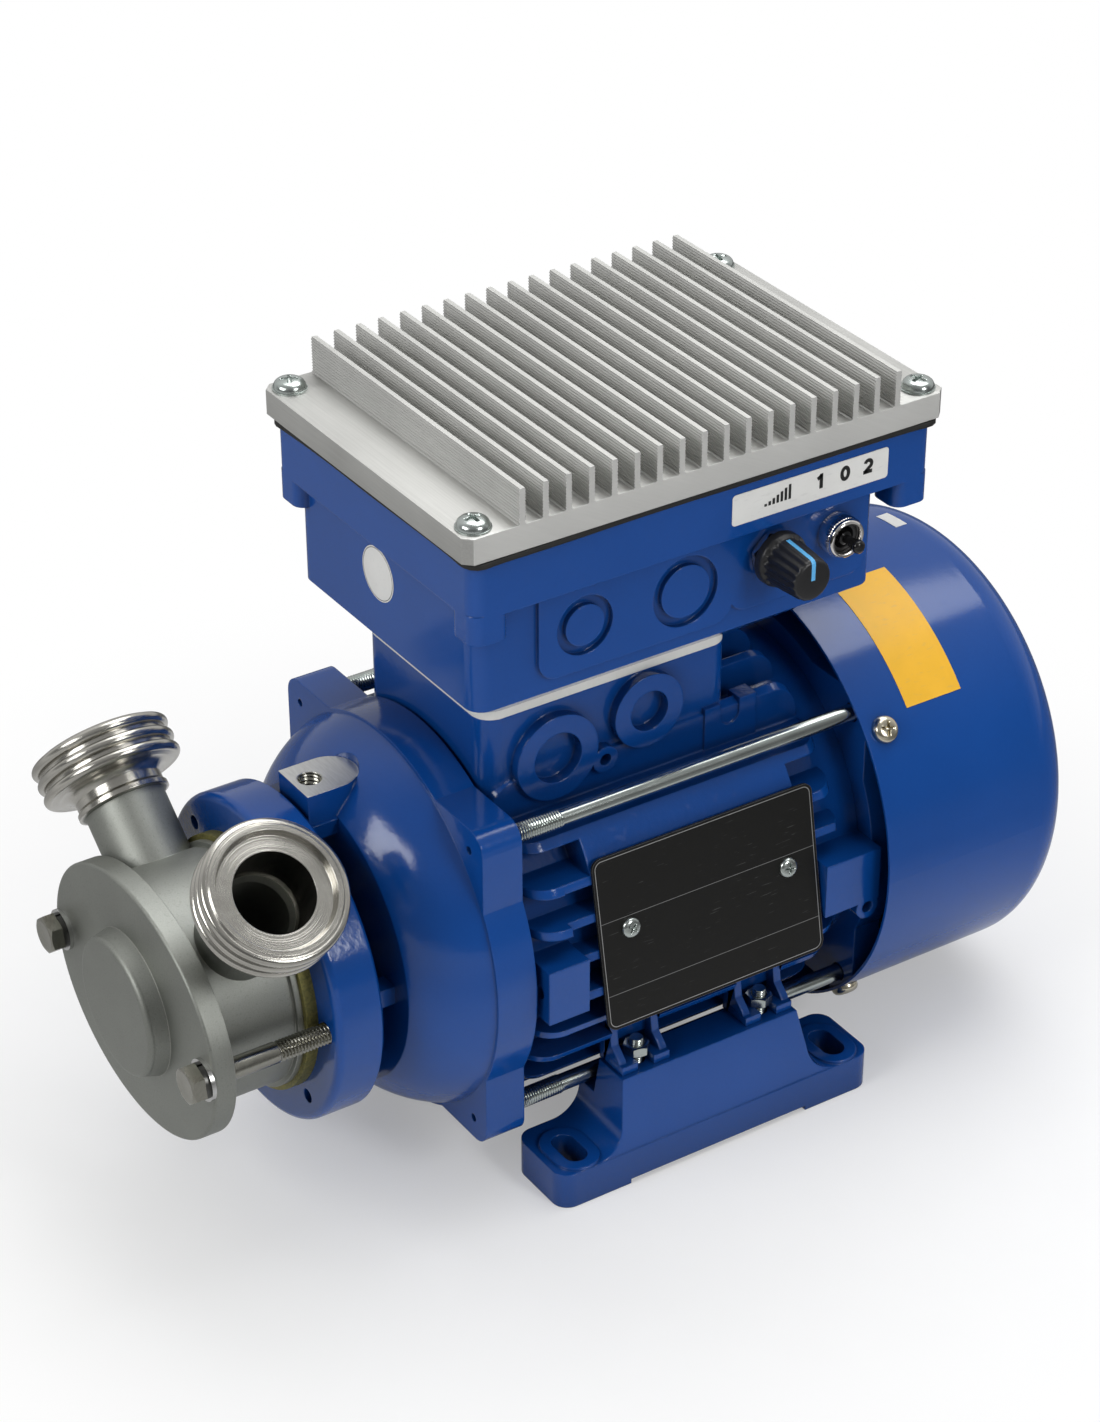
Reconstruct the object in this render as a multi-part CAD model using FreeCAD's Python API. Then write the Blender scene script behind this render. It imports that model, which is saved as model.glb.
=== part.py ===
"""Flexible impeller pump, close-coupled to a foot-mounted motor with a speed controller on top.

Millimetres. The shaft runs along Y, the pump head at -Y and the fan at +Y, +X is the side with
the controls and +Z is up. The origin is the centre of the foot slot pattern, on the floor.
Angles round the shaft are measured from +X towards +Z.
"""
import FreeCAD, Part
import math
import os

Vector = FreeCAD.Vector

# Frame size of the motor
shaft_height = 71.0
foot_slot_span_x = 112.0
foot_slot_span_y = 90.0
foot_slot_width = 7.0
foot_slot_length = 13.0

# General fits
fit_clearance = 0.05
thread_clearance = 0.05
seat_gap = 0.3

# Pump cover
cover_back_y = -142.7
cover_thickness = 6.35
cover_half_width = 45.75
cover_half_height = 37.1
cover_edge_round = 0.9
cover_boss_radius = 20.1
cover_boss_height = 5.65
cover_boss_round = 1.6
cover_bolt_spread = 40.9
cover_bolt_radius = 3.0
cover_bolt_reach = 8.0
flat_washer_radius = 6.0
flat_washer_thickness = 1.2
spring_washer_radius = 5.1
spring_washer_thickness = 1.3
spring_washer_slit = 0.8
bolt_head_flats = 10.0
bolt_head_height = 3.8

# Pump body
barrel_radius = 34.0
body_rim_radius = 35.5
body_rim_width = 1.8
chamber_radius = 28.5
chamber_depth = 22.2
face_seal_radius = 31.2
face_seal_section = 1.6
body_back_y = -116.2
body_spigot_radius = 22.0
body_spigot_length = 12.7
seal_pocket_radius = 15.0
seal_pocket_wall = 3.0
port_y = -127.8
near_port_angle = 50.0
port_spread_angle = 90.0
port_face_reach = 72.0
neck_radius = 11.6
neck_bore_radius = 9.6
neck_reach = 52.6
collar_radius = 13.3
collar_width = 1.3
sleeve_radius = 12.6
union_bore_radius = 11.3
union_thread_radius = 20.2
union_root_radius = 18.3
union_pitch = 4.233
union_crests = 3
union_recess_depth = 2.3
union_recess_radius = 15.6
union_lip_radius = 16.4

# Ring between the pump body and the lantern
ring_radius = 37.0

# Impeller and cam
vane_count = 6
vane_thickness = 4.2
vane_tip_radius = 2.8
impeller_tip_gap = 0.3
impeller_side_gap = 0.5
impeller_hub_radius = 13.5
insert_radius = 9.0
cam_thickness = 3.5
cam_half_angle = 21.0
key_width = 4.0
key_height = 4.0
key_length = 14.0

# Shaft seal
seal_face_width = 3.5
seal_seat_width = 4.0
seal_face_radius = 12.4
seal_cup_radius = 13.0
seal_cup_width = 3.4
spring_wire = 1.1
spring_turns = 2.5

# Lantern
flange_radius = 47.5
flange_thickness = 14.5
flange_round = 2.2
flange_hole_circle = 81.6
flange_hole_radius = 2.1
flange_hole_depth = 11.0
window_length = 9.7
window_top_angle = 52.0
window_bottom_angle = 62.0
web_radius = 43.0
web_wall = 7.0
bell_front_radius = 44.8
bell_rear_radius = 57.5
bell_bulge = 1.6
bell_wall = 4.0
lantern_hub_radius = 23.0
shield_front_y = -69.4
shield_thickness = 12.4
shield_radius = 58.5
lug_half_width = 51.5
lug_corner = 6.0
pad_height = 51.3
pad_half_width = 8.0
pad_front_y = -97.0
pad_rear_y = -86.0
eye_hole_y = -91.8
eye_hole_radius = 3.4
eye_hole_depth = 12.0

# Tie rods
rod_offset = 44.7
rod_radius = 2.5
rod_hole_clearance = 0.3
rod_head_radius = 3.5
rod_head_height = 3.2
rod_slot = 1.0
rod_slot_depth = 1.4

# Shaft
pump_end_radius = 6.0
seal_land_radius = 7.0
bearing_bore_radius = 7.5
rotor_seat_radius = 9.5
fan_seat_radius = 6.0
shaft_front_y = -141.0
shaft_rear_y = 101.0

# Bearings
bearing_radius = 17.5
bearing_width = 11.0
front_bearing_y = -74.0
rear_bearing_y = 58.0
ball_radius = 2.97
ball_clearance = 0.05
ball_circle = 12.5
balls_per_bearing = 8
race_inner_shoulder = 10.4
race_outer_shoulder = 14.6
cage_half_thickness = 0.5
slinger_y = -93.0

# Motor
housing_front_y = -57.0
housing_rear_y = 57.0
core_radius = 47.5
housing_radius = 51.0
fin_tip_radius = 60.0
fin_front_y = -55.0
fin_rear_y = 47.5
fin_pitch = 11.0
fin_thickness = 2.4
fin_rows = 8
top_fin_first_x = 8.0
top_fin_pitch = 11.2
top_fin_columns = 3
fin_end_round = 8.0
stack_half_length = 32.0
rotor_radius = 27.8
air_gap = 0.4
winding_height = 14.0
winding_inner_radius = 29.5
winding_outer_radius = 44.5
end_ring_width = 6.0

# Terminal base and adapter plate on top of the motor
base_front_y = -55.8
base_rear_y = 24.7
base_half_width = 30.7
base_corner = 6.0
base_top_z = 142.8
base_wall = 4.0
base_floor_z = 126.0
adapter_thickness = 2.6
large_entry_y = -33.9
large_entry_z = 126.4
large_entry_radius = 13.0
large_entry_bore = 7.6
small_entry_y = -4.2
small_entry_z = 131.2
small_entry_radius = 11.2
small_entry_bore = 6.1
entry_proud = 3.0
entry_depth = 3.5
test_boss_y = -18.5
test_boss_z = 120.5
test_boss_radius = 4.0
test_boss_bore = 1.8
post_radius = 4.5
post_hole_depth = 9.0
notched_lug_front_y = 15.5
notched_lug_rear_y = 33.0
notched_lug_top_z = 124.0
notched_lug_width = 5.0
notch_y = 24.0
notch_z = 120.0
notch_radius = 3.2

# Side lugs, foot lugs and nameplate pad of the motor housing
side_lug_reach = 61.5
side_lug_half_height = 8.5
front_side_lug_length = 13.0
rear_side_lug_gap = 0.7
plate_pad_rear_y = 32.5
earth_boss_y = 53.0
earth_boss_drop = 10.3
earth_boss_radius = 3.8
earth_boss_bore = 1.8
side_lug_hole_radius = 2.1
foot_lug_reach = 59.0
foot_lug_half_length = 8.0
foot_lug_pocket = 5.8
foot_lug_bottom_z = 38.4
foot_lug_height = 8.0
plate_tilt = 10.5
plate_distance = 57.4

# Feet
foot_length = 108.0
foot_outer_x = 66.0
foot_inner_x = 41.5
foot_pad_z = 12.4
foot_pad_raise = 0.9
foot_pad_margin = 3.4
foot_corner = 5.0
foot_relief = 1.5
ramp_half_length = 33.5
ramp_top_half_length = 30.0
ramp_top_z = 32.8
ramp_top_outer_x = 60.5
ramp_inner_x = 48.6
ramp_shoulder_z = 22.0
ramp_root_round = 9.0
stud_x = 54.0
stud_y = 21.2
stud_radius = 2.5
stud_reach = 12.0
foot_nut_flats = 8.0
foot_nut_height = 4.2

# Rear shield, fan and cowl
rear_shield_thickness = 9.0
rear_shield_radius = 57.5
rear_hub_radius = 22.5
cowl_front_y = 55.4
cowl_radius = 67.8
cowl_straight_end_y = 110.7
cowl_rear_y = 130.5
cowl_flat_radius = 33.0
cowl_wall = 0.8
cowl_screw_y = 62.0
cowl_screw_angle = 38.0
cowl_screw_radius = 2.0
cowl_pad_radius = 4.4
grille_rings = 3
grille_first_radius = 8.0
grille_slot = 4.6
grille_land = 3.4
grille_spokes = 6
grille_spoke_width = 4.5
fan_front_y = 75.0
fan_disc_thickness = 2.4
fan_blade_height = 17.0
fan_blade_thickness = 2.0
fan_blades = 8
fan_radius = 56.0
fan_blade_inner_radius = 24.0
fan_hub_radius = 11.0

# Controller case and lid
case_centre_x = -0.8
case_front_y = -66.5
case_rear_y = 62.5
case_half_width = 45.0
case_corner = 5.0
case_bottom_z = 156.0
case_wall = 3.0
case_floor = 3.0
panel_proud = 1.2
panel_front_y = -47.5
panel_split_y = 14.0
panel_bottom_z = 160.0
rim_bottom_z = 187.0
rim_top_z = 202.9
rim_front_y = -69.8
rim_rear_y = 76.3
rim_half_width = 50.0
rim_corner = 4.0
boss_bottom_z = 179.5
boss_size = 11.5
large_knockout_y = -1.4
small_knockout_y = -33.2
knockout_z = 173.2
large_knockout_radius = 10.4
small_knockout_radius = 8.7
knockout_groove = 2.7
knockout_depth = 1.6
gasket_thickness = 1.6
gasket_width = 6.0
lid_thickness = 7.6
lid_front_y = -72.4
lid_rear_y = 78.9
lid_half_width = 51.6
lid_chamfer = 4.0
sink_fins = 18
sink_fin_pitch = 6.8
sink_fin_thickness = 1.9
sink_fin_height = 10.2
sink_fin_inset = 2.3
lid_screw_inset = 5.6
lid_screw_radius = 2.5
lid_screw_reach = 12.0
lid_screw_head_radius = 4.8
lid_screw_head_height = 3.3

# Electronics under the lid
board_drop = 11.0
board_thickness = 1.6
board_half_width = 36.0
board_front_y = -56.0
board_rear_y = 52.0
spacer_radius = 3.0
module_half_width = 17.0
module_half_length = 27.0
capacitor_radius = 9.0
capacitor_height = 22.0
capacitor_pitch = 21.0
terminal_length = 44.0
terminal_depth = 12.0
terminal_height = 11.0

# Controls
knob_y = 26.0
knob_z = 176.8
knob_length = 15.8
knob_base_radius = 7.8
knob_face_radius = 6.2
knob_skirt = 3.0
spindle_radius = 3.0
bushing_radius = 4.6
pot_radius = 8.5
pot_depth = 9.0
pot_nut_flats = 12.0
pot_nut_height = 2.2
switch_y = 47.4
switch_z = 176.6
switch_nut_radius = 6.0
switch_nut_height = 6.0
switch_bushing_radius = 4.1
switch_throat_radius = 3.2
switch_ball_radius = 2.8
lever_reach = 11.8
lever_root_radius = 1.3
lever_tip_radius = 1.9

# Nameplate
nameplate_width = 73.4
nameplate_height = 52.0
nameplate_thickness = 0.8
nameplate_corner = 3.0
nameplate_shift_y = 0.6
nameplate_shift_up = -3.0
nameplate_screw_pitch = 53.0
nameplate_screw_radius = 1.5
nameplate_screw_head = 3.0

# Sizes that follow from the ones above
cover_front_y = cover_back_y - cover_thickness
flange_front_y = body_back_y + 3.5
flange_rear_y = flange_front_y + flange_thickness
bell_front_y = flange_rear_y + window_length
shield_rear_y = shield_front_y + shield_thickness
rear_shield_end_y = housing_rear_y + rear_shield_thickness
chamber_back_y = cover_back_y + chamber_depth
seal_pocket_end_y = body_back_y + body_spigot_length - seal_pocket_wall
case_base_z = base_top_z + adapter_thickness
lid_bottom_z = rim_top_z + gasket_thickness
lid_top_z = lid_bottom_z + lid_thickness
port_angles = (near_port_angle, near_port_angle + port_spread_angle)
cam_angle = near_port_angle + port_spread_angle / 2
panel_face_x = case_centre_x + case_half_width + panel_proud
panel_inner_x = case_centre_x + case_half_width - case_wall

SHAFT = Vector(0, 0, shaft_height)
ALONG_X = Vector(1, 0, 0)
ALONG_Y = Vector(0, 1, 0)
ALONG_Z = Vector(0, 0, 1)


def edges_of(points):
    """Edges through (a, b) points; a point written (a, b, 'arc') is passed on an arc."""
    corners = [Vector(p[0], p[1], 0) for p in points]
    edges = []
    start = 0
    while start < len(points):
        step = start + 1
        end = corners[step % len(points)]
        if len(points[step % len(points)]) == 3:
            through = end
            step += 1
            end = corners[step % len(points)]
            edges.append(Part.Arc(corners[start], through, end).toShape())
        elif corners[start].distanceToPoint(end) > 1e-7:
            edges.append(Part.LineSegment(corners[start], end).toShape())
        start = step
    return edges


def outline(points):
    """Closed face in the XY plane through the points."""
    return Part.Face(Part.Wire(edges_of(points)))


def turned(points):
    """Solid of revolution about the shaft from (y, radius) points."""
    face = outline([(p[1], p[0]) + tuple(p[2:]) for p in points])
    face.translate(SHAFT)
    return face.revolve(SHAFT, ALONG_Y, 360)


def spun(points, centre, direction):
    """Solid of revolution from (distance, radius) points along a direction from a centre."""
    face = outline([(p[1], p[0]) + tuple(p[2:]) for p in points])
    solid = face.revolve(Vector(), ALONG_Y, 360)
    solid.Placement = FreeCAD.Placement(centre, FreeCAD.Rotation(ALONG_Y, direction))
    return solid


def drum(y_start, y_end, radius, x=0.0, above=0.0):
    """Round bar along Y, its centre x to the side of and above the shaft."""
    return Part.makeCylinder(radius, y_end - y_start, SHAFT + Vector(x, y_start, above), ALONG_Y)


def tube(y_start, y_end, outer, inner):
    """Ring about the shaft."""
    return drum(y_start, y_end, outer).cut(drum(y_start, y_end, inner))


def block(x0, x1, y0, y1, z0, z1):
    """Box between two corners."""
    return Part.makeBox(x1 - x0, y1 - y0, z1 - z0, Vector(x0, y0, z0))


def slab(x0, x1, y0, y1, z0, z1, corner):
    """Box whose upright edges are rounded."""
    box = block(x0, x1, y0, y1, z0, z1)
    upright = [e for e in box.Edges if abs(e.tangentAt(e.FirstParameter).z) > 0.9]
    return box.makeFillet(corner, upright)


def hexagon(flats, height, base, direction):
    """Hexagonal prism."""
    radius = flats / math.sqrt(3)
    turns = [math.radians(60 * i + 30) for i in range(6)]
    face = outline([(radius * math.cos(a), radius * math.sin(a)) for a in turns])
    prism = face.extrude(Vector(0, 0, height))
    prism.Placement = FreeCAD.Placement(base, FreeCAD.Rotation(ALONG_Z, direction))
    return prism


def radial(angle):
    """Unit vector at an angle round the shaft."""
    return Vector(math.cos(math.radians(angle)), 0, math.sin(math.radians(angle)))


def swung(shape, angle):
    """Copy turned about the shaft so that what pointed along +X points at the angle."""
    copy = shape.copy()
    copy.rotate(SHAFT, ALONG_Y, -angle)
    return copy


def joined(shapes):
    """One solid out of overlapping shapes."""
    first = shapes[0]
    return first.fuse(shapes[1:]).removeSplitter()


def group(shapes):
    """Separate solids in one node."""
    return Part.makeCompound(shapes)


def pump_cover():
    """Oval cover plate with a round boss."""
    oval = Part.Ellipse(Vector(), cover_half_width, cover_half_height).toShape()
    plate = Part.Face(Part.Wire([oval])).extrude(Vector(0, 0, cover_thickness))
    plate.rotate(Vector(), ALONG_X, 90)
    plate.translate(SHAFT + Vector(0, cover_back_y, 0))
    front = [e for e in plate.Edges if abs(e.BoundBox.YMin - cover_front_y) < 0.01]
    plate = plate.makeFillet(cover_edge_round, [e for e in front if e.BoundBox.YLength < 0.01])
    boss_y = cover_front_y - cover_boss_height
    turn = cover_boss_round * (1 - math.sqrt(0.5))
    boss = turned([
        (cover_front_y + 1, 0),
        (boss_y, 0),
        (boss_y, cover_boss_radius - cover_boss_round),
        (boss_y + turn, cover_boss_radius - turn, "arc"),
        (boss_y + cover_boss_round, cover_boss_radius),
        (cover_front_y, cover_boss_radius + 1.2),
        (cover_front_y + 1, cover_boss_radius + 1.2),
    ])
    cover = joined([plate, boss])
    for x in (-cover_bolt_spread, cover_bolt_spread):
        hole = cover_bolt_radius + 0.3
        cover = cover.cut(drum(cover_front_y - 1, cover_back_y + 1, hole, x))
    return cover


def cover_bolts():
    """Two long hexagon bolts that clamp cover and body against the lantern."""
    bolts = []
    head_y = cover_front_y - flat_washer_thickness - spring_washer_thickness
    for x in (-cover_bolt_spread, cover_bolt_spread):
        shank = drum(head_y, flange_front_y + cover_bolt_reach, cover_bolt_radius, x)
        base = SHAFT + Vector(x, head_y - bolt_head_height, 0)
        bolts.append(joined([shank, hexagon(bolt_head_flats, bolt_head_height, base, ALONG_Y)]))
    return group(bolts)


def washers(y_start, thickness, radius, slit):
    """One washer for each cover bolt, with an optional slit."""
    rings = []
    for x in (-cover_bolt_spread, cover_bolt_spread):
        ring = drum(y_start, y_start + thickness, radius, x)
        ring = ring.cut(drum(y_start - 1, y_start + thickness + 1, cover_bolt_radius + 0.1, x))
        if slit:
            z = shaft_height
            gap = block(x - slit / 2, x + slit / 2, y_start - 1, y_start + thickness + 1, z, z + 9)
            ring = ring.cut(gap)
        rings.append(ring)
    return group(rings)


def face_seal(clearance=0.0):
    """Square ring in the front face of the body, or the groove that holds it."""
    half = face_seal_section / 2 + clearance
    depth = face_seal_section + clearance
    return tube(cover_back_y, cover_back_y + depth, face_seal_radius + half, face_seal_radius - half)


def union(angle):
    """Outside of one port: cast neck, collar, sleeve and a head with rounded thread crests."""
    crest_half = 1.45
    points = [(barrel_radius - 10, 0), (barrel_radius - 10, neck_radius), (neck_reach, neck_radius)]
    points += [(neck_reach + 0.4, collar_radius), (neck_reach + 0.4 + collar_width, collar_radius)]
    points += [(neck_reach + collar_width + 1.2, sleeve_radius)]
    first = port_face_reach - 2 - (union_crests - 1) * union_pitch - crest_half
    points += [(first - 2.6, sleeve_radius), (first - 1.3, sleeve_radius + 0.9, "arc")]
    points += [(first - 0.4, union_root_radius - 1.8), (first, union_root_radius)]
    for i in range(union_crests):
        middle = port_face_reach - 2 - (union_crests - 1 - i) * union_pitch
        if i:
            points.append((middle - crest_half, union_root_radius))
        points.append((middle, union_thread_radius, "arc"))
        points.append((middle + crest_half, union_root_radius))
    points += [(port_face_reach, union_root_radius - 0.5), (port_face_reach, 0)]
    return spun(points, SHAFT + Vector(0, port_y, 0), radial(angle))


def port_bore(angle):
    """Inside of one port: seat recess, union bore and neck bore."""
    recess = port_face_reach - union_recess_depth
    points = [
        (chamber_radius - 8, 0),
        (chamber_radius - 8, neck_bore_radius),
        (neck_reach - 2, neck_bore_radius),
        (neck_reach + 1.4, union_bore_radius),
        (recess, union_bore_radius),
        (recess, union_recess_radius),
        (port_face_reach, union_lip_radius),
        (port_face_reach + 1, union_lip_radius),
        (port_face_reach + 1, 0),
    ]
    return spun(points, SHAFT + Vector(0, port_y, 0), radial(angle))


def pump_body():
    """Cast barrel with two ports in a V, a chamber for the impeller and a pocket for the seal."""
    rim_y = body_back_y - body_rim_width
    spigot_end = body_back_y + body_spigot_length
    barrel = turned([
        (cover_back_y, 0),
        (cover_back_y, barrel_radius),
        (rim_y, barrel_radius),
        (rim_y, body_rim_radius),
        (body_back_y, body_rim_radius),
        (body_back_y, body_spigot_radius),
        (spigot_end, body_spigot_radius),
        (spigot_end, 0),
    ])
    necks = [union(angle) for angle in port_angles]
    body = joined([barrel] + necks)
    body = body.cut(drum(cover_back_y - 1, chamber_back_y, chamber_radius))
    body = body.cut(drum(chamber_back_y - 1, seal_pocket_end_y, seal_pocket_radius))
    body = body.cut(drum(seal_pocket_end_y - 1, spigot_end + 1, pump_end_radius + 2.5))
    body = body.cut(face_seal(0.1))
    for angle in port_angles:
        body = body.cut(port_bore(angle))
    return body


def spacer_ring():
    """Flat ring on the body's spigot, between the body and the lantern."""
    return tube(body_back_y, flange_front_y, ring_radius, body_spigot_radius + 0.3)


def cam_plate():
    """Shallow cam between the ports, which bends the passing vanes."""
    front = cover_back_y
    disc = drum(front + 0.05, chamber_back_y - 0.05, chamber_radius - fit_clearance)
    flat = chamber_radius - cam_thickness
    half = chamber_radius * math.sin(math.radians(cam_half_angle))
    window = block(flat, chamber_radius + 1, front, chamber_back_y, -half, half)
    window.translate(SHAFT)
    return disc.common(swung(window, cam_angle))


def impeller():
    """Rubber impeller: hub and straight vanes with rounded tips."""
    front = cover_back_y + impeller_side_gap
    back = chamber_back_y - impeller_side_gap
    tip_centre = chamber_radius - impeller_tip_gap - vane_tip_radius
    parts = [drum(front, back, impeller_hub_radius)]
    vane = block(insert_radius + 1, tip_centre, front, back, -vane_thickness / 2, vane_thickness / 2)
    vane.translate(SHAFT)
    vane = joined([vane, drum(front, back, vane_tip_radius, tip_centre)])
    for i in range(vane_count):
        parts.append(swung(vane, cam_angle + (i + 0.5) * 360 / vane_count))
    return joined(parts).cut(drum(front - 1, back + 1, insert_radius))


def impeller_key(clearance=0.0):
    """Key between shaft and impeller insert, or the slot that holds it."""
    half = key_width / 2 + clearance
    bottom = shaft_height + pump_end_radius - key_height / 2 - clearance
    start = cover_back_y + 4 - clearance
    top = bottom + key_height + 2 * clearance
    return block(-half, half, start, start + key_length + 2 * clearance, bottom, top)


def impeller_insert():
    """Metal bush moulded into the impeller."""
    front = cover_back_y + impeller_side_gap
    back = chamber_back_y - impeller_side_gap
    return tube(front, back, insert_radius, pump_end_radius).cut(impeller_key(fit_clearance))


def seal_seat():
    """Fixed ring of the shaft seal."""
    start = seal_pocket_end_y - seal_seat_width
    return tube(start, seal_pocket_end_y, seal_pocket_radius - fit_clearance, pump_end_radius + 2.5)


def seal_face():
    """Turning ring of the shaft seal."""
    end = seal_pocket_end_y - seal_seat_width
    return tube(end - seal_face_width, end, seal_face_radius, pump_end_radius + 0.6)


def seal_cup():
    """Rubber cup that carries the turning ring."""
    end = seal_pocket_end_y - seal_seat_width - seal_face_width
    return tube(end - seal_cup_width, end, seal_cup_radius, pump_end_radius)


def seal_spring():
    """Coil spring between the impeller and the seal cup."""
    start = chamber_back_y - impeller_side_gap + 0.1
    end = seal_pocket_end_y - seal_seat_width - seal_face_width - seal_cup_width - 0.1
    radius = seal_cup_radius - 2.5
    rise = (end - start - spring_wire) / spring_turns
    path = Part.makeHelix(rise, rise * spring_turns, radius)
    half = spring_wire / 2
    corners = [(-half, -half), (half, -half), (half, half), (-half, half)]
    ring = [Vector(radius + a, 0, b) for a, b in corners]
    section = Part.makePolygon(ring + ring[:1])
    coil = Part.Wire(path).makePipeShell([section], True, True)
    coil.rotate(Vector(), ALONG_X, -90)
    coil.translate(SHAFT + Vector(0, start + half, 0))
    return coil


def shield_plate(y_start, y_end, radius, half_width, corner, limit):
    """Round plate whose four corners reach out for the tie rods, within a limit radius."""
    square = slab(-half_width, half_width, -half_width, half_width, 0, y_end - y_start, corner)
    square.rotate(Vector(), ALONG_X, -90)
    square.translate(SHAFT + Vector(0, y_start, 0))
    return joined([square.common(drum(y_start, y_end, limit)), drum(y_start, y_end, radius)])


def sector(y_start, y_end, radius, angle_start, angle_end):
    """Wedge of a disc about the shaft."""
    span = angle_end - angle_start
    wedge = Part.makeCylinder(radius, y_end - y_start, Vector(), ALONG_Z, span)
    wedge.rotate(Vector(), ALONG_X, -90)
    wedge.rotate(Vector(), ALONG_Y, -angle_start - span)
    wedge.translate(SHAFT + Vector(0, y_start, 0))
    wedge.rotate(SHAFT, ALONG_Y, span)
    return wedge


def eye_pad(z_start, z_end, grow=0.0):
    """D-shaped column under or over the machined pad."""
    half = pad_half_width + grow
    return block(-half, half, pad_front_y, pad_rear_y, z_start, z_end).fuse(
        Part.makeCylinder(half, z_end - z_start, Vector(0, pad_rear_y, z_start), ALONG_Z))


def lantern():
    """Cast bracket: pump flange, two webs with open sides, bell and front motor shield."""
    side = flange_round * (1 - math.sqrt(0.5))
    disc = turned([
        (flange_front_y, 0),
        (flange_front_y, flange_radius - flange_round),
        (flange_front_y + side, flange_radius - side, "arc"),
        (flange_front_y + flange_round, flange_radius),
        (flange_rear_y - 1, flange_radius),
        (flange_rear_y, flange_radius - 1),
        (flange_rear_y, 0),
    ])
    neck = tube(flange_rear_y - 1, bell_front_y + 1, web_radius, web_radius - web_wall)
    top = swung(sector(flange_rear_y - 1, bell_front_y + 1, 60, window_top_angle, 180 - window_top_angle), 0)
    low = sector(flange_rear_y - 1, bell_front_y + 1, 60, 180 + window_bottom_angle, 360 - window_bottom_angle)
    webs = [neck.common(top), neck.common(low)]
    middle_y = (bell_front_y + shield_front_y) / 2
    middle_r = (bell_front_radius + bell_rear_radius) / 2
    bell = turned([
        (bell_front_y, lantern_hub_radius - 9),
        (bell_front_y, bell_front_radius - 1.5),
        (bell_front_y + 1.2, bell_front_radius),
        (middle_y, middle_r + bell_bulge, "arc"),
        (shield_front_y, bell_rear_radius),
        (shield_rear_y, bell_rear_radius),
        (shield_rear_y, core_radius - 3),
        (shield_front_y - 3, core_radius - 1),
        (bell_front_y + bell_wall, bell_front_radius - bell_wall - 3),
        (bell_front_y + bell_wall, lantern_hub_radius),
        (front_bearing_y + bearing_width + 1, lantern_hub_radius),
        (front_bearing_y + bearing_width + 1, lantern_hub_radius - 9),
    ])
    plate = shield_plate(shield_front_y, shield_rear_y, shield_radius, lug_half_width, lug_corner, 80)
    plate = plate.cut(drum(shield_front_y - 1, shield_rear_y + 1, core_radius))
    spigot = tube(shield_rear_y - 1, shield_rear_y + 4, core_radius - fit_clearance, core_radius - 3)
    pad_z = shaft_height + pad_height
    pad = eye_pad(shaft_height + web_radius - web_wall + 1, pad_z)
    body = joined([disc, bell, plate, spigot, pad] + webs)
    body = body.cut(drum(flange_front_y - 1, flange_rear_y + 1, body_spigot_radius + fit_clearance))
    body = body.cut(drum(front_bearing_y, shield_rear_y + 9, bearing_radius + 0.02))
    body = body.cut(drum(bell_front_y - 1, front_bearing_y + 1, seal_land_radius + 3))
    body = body.cut(eye_pad(pad_z, pad_z + 20, 0.4))
    eye = Vector(0, eye_hole_y, pad_z - eye_hole_depth)
    body = body.cut(Part.makeCylinder(eye_hole_radius, eye_hole_depth + 1, eye, ALONG_Z))
    for x in (-cover_bolt_spread, cover_bolt_spread):
        tapped = cover_bolt_radius + thread_clearance
        end = flange_front_y + cover_bolt_reach + 1
        body = body.cut(drum(flange_front_y - 1, end, tapped, x))
    for i in range(4):
        hole = drum(flange_front_y - 1, flange_front_y + flange_hole_depth, flange_hole_radius,
                    flange_hole_circle / 2)
        body = body.cut(swung(hole, 45 + 90 * i))
    for x, above in rod_places():
        tapped = rod_radius + thread_clearance
        body = body.cut(drum(shield_front_y + 2, shield_rear_y + 1, tapped, x, above))
        body = body.cut(drum(shield_front_y - 1, shield_front_y + 3, 1.2, x, above))
    return body


def rod_places():
    """Offsets of the four tie rods from the shaft."""
    return [(x, z) for x in (-rod_offset, rod_offset) for z in (-rod_offset, rod_offset)]


def tie_rods():
    """Four long slotted screws that pull the two shields together outside the fins."""
    rods = []
    head_end = rear_shield_end_y + rod_head_height
    for x, z in rod_places():
        rod = joined([drum(shield_front_y + 2.5, head_end, rod_radius, x, z),
                      drum(rear_shield_end_y, head_end, rod_head_radius, x, z)])
        half = rod_slot / 2
        slot = block(x - half, x + half, head_end - rod_slot_depth, head_end + 1, z - 9, z + 9)
        slot.translate(SHAFT)
        rods.append(rod.cut(slot))
    return group(rods)


def shaft():
    """Stepped shaft from the impeller to the fan."""
    seal_end = flange_rear_y - 5
    points = [
        (shaft_front_y, 0),
        (shaft_front_y, pump_end_radius - 0.6),
        (shaft_front_y + 0.6, pump_end_radius),
        (seal_end, pump_end_radius),
        (seal_end, seal_land_radius),
        (front_bearing_y - 1, seal_land_radius),
        (front_bearing_y - 1, bearing_bore_radius),
        (front_bearing_y + bearing_width, bearing_bore_radius),
        (front_bearing_y + bearing_width, rotor_seat_radius),
        (rear_bearing_y, rotor_seat_radius),
        (rear_bearing_y, bearing_bore_radius),
        (rear_bearing_y + bearing_width + 1, bearing_bore_radius),
        (rear_bearing_y + bearing_width + 1, fan_seat_radius),
        (shaft_rear_y - 0.6, fan_seat_radius),
        (shaft_rear_y, fan_seat_radius - 0.6),
        (shaft_rear_y, 0),
    ]
    clip_y = fan_front_y + fan_disc_thickness + fan_blade_height + 1
    groove = tube(clip_y, clip_y + 1.1, fan_seat_radius + 1, fan_seat_radius - 0.5)
    return turned(points).cut(impeller_key(fit_clearance)).cut(groove)


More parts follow.
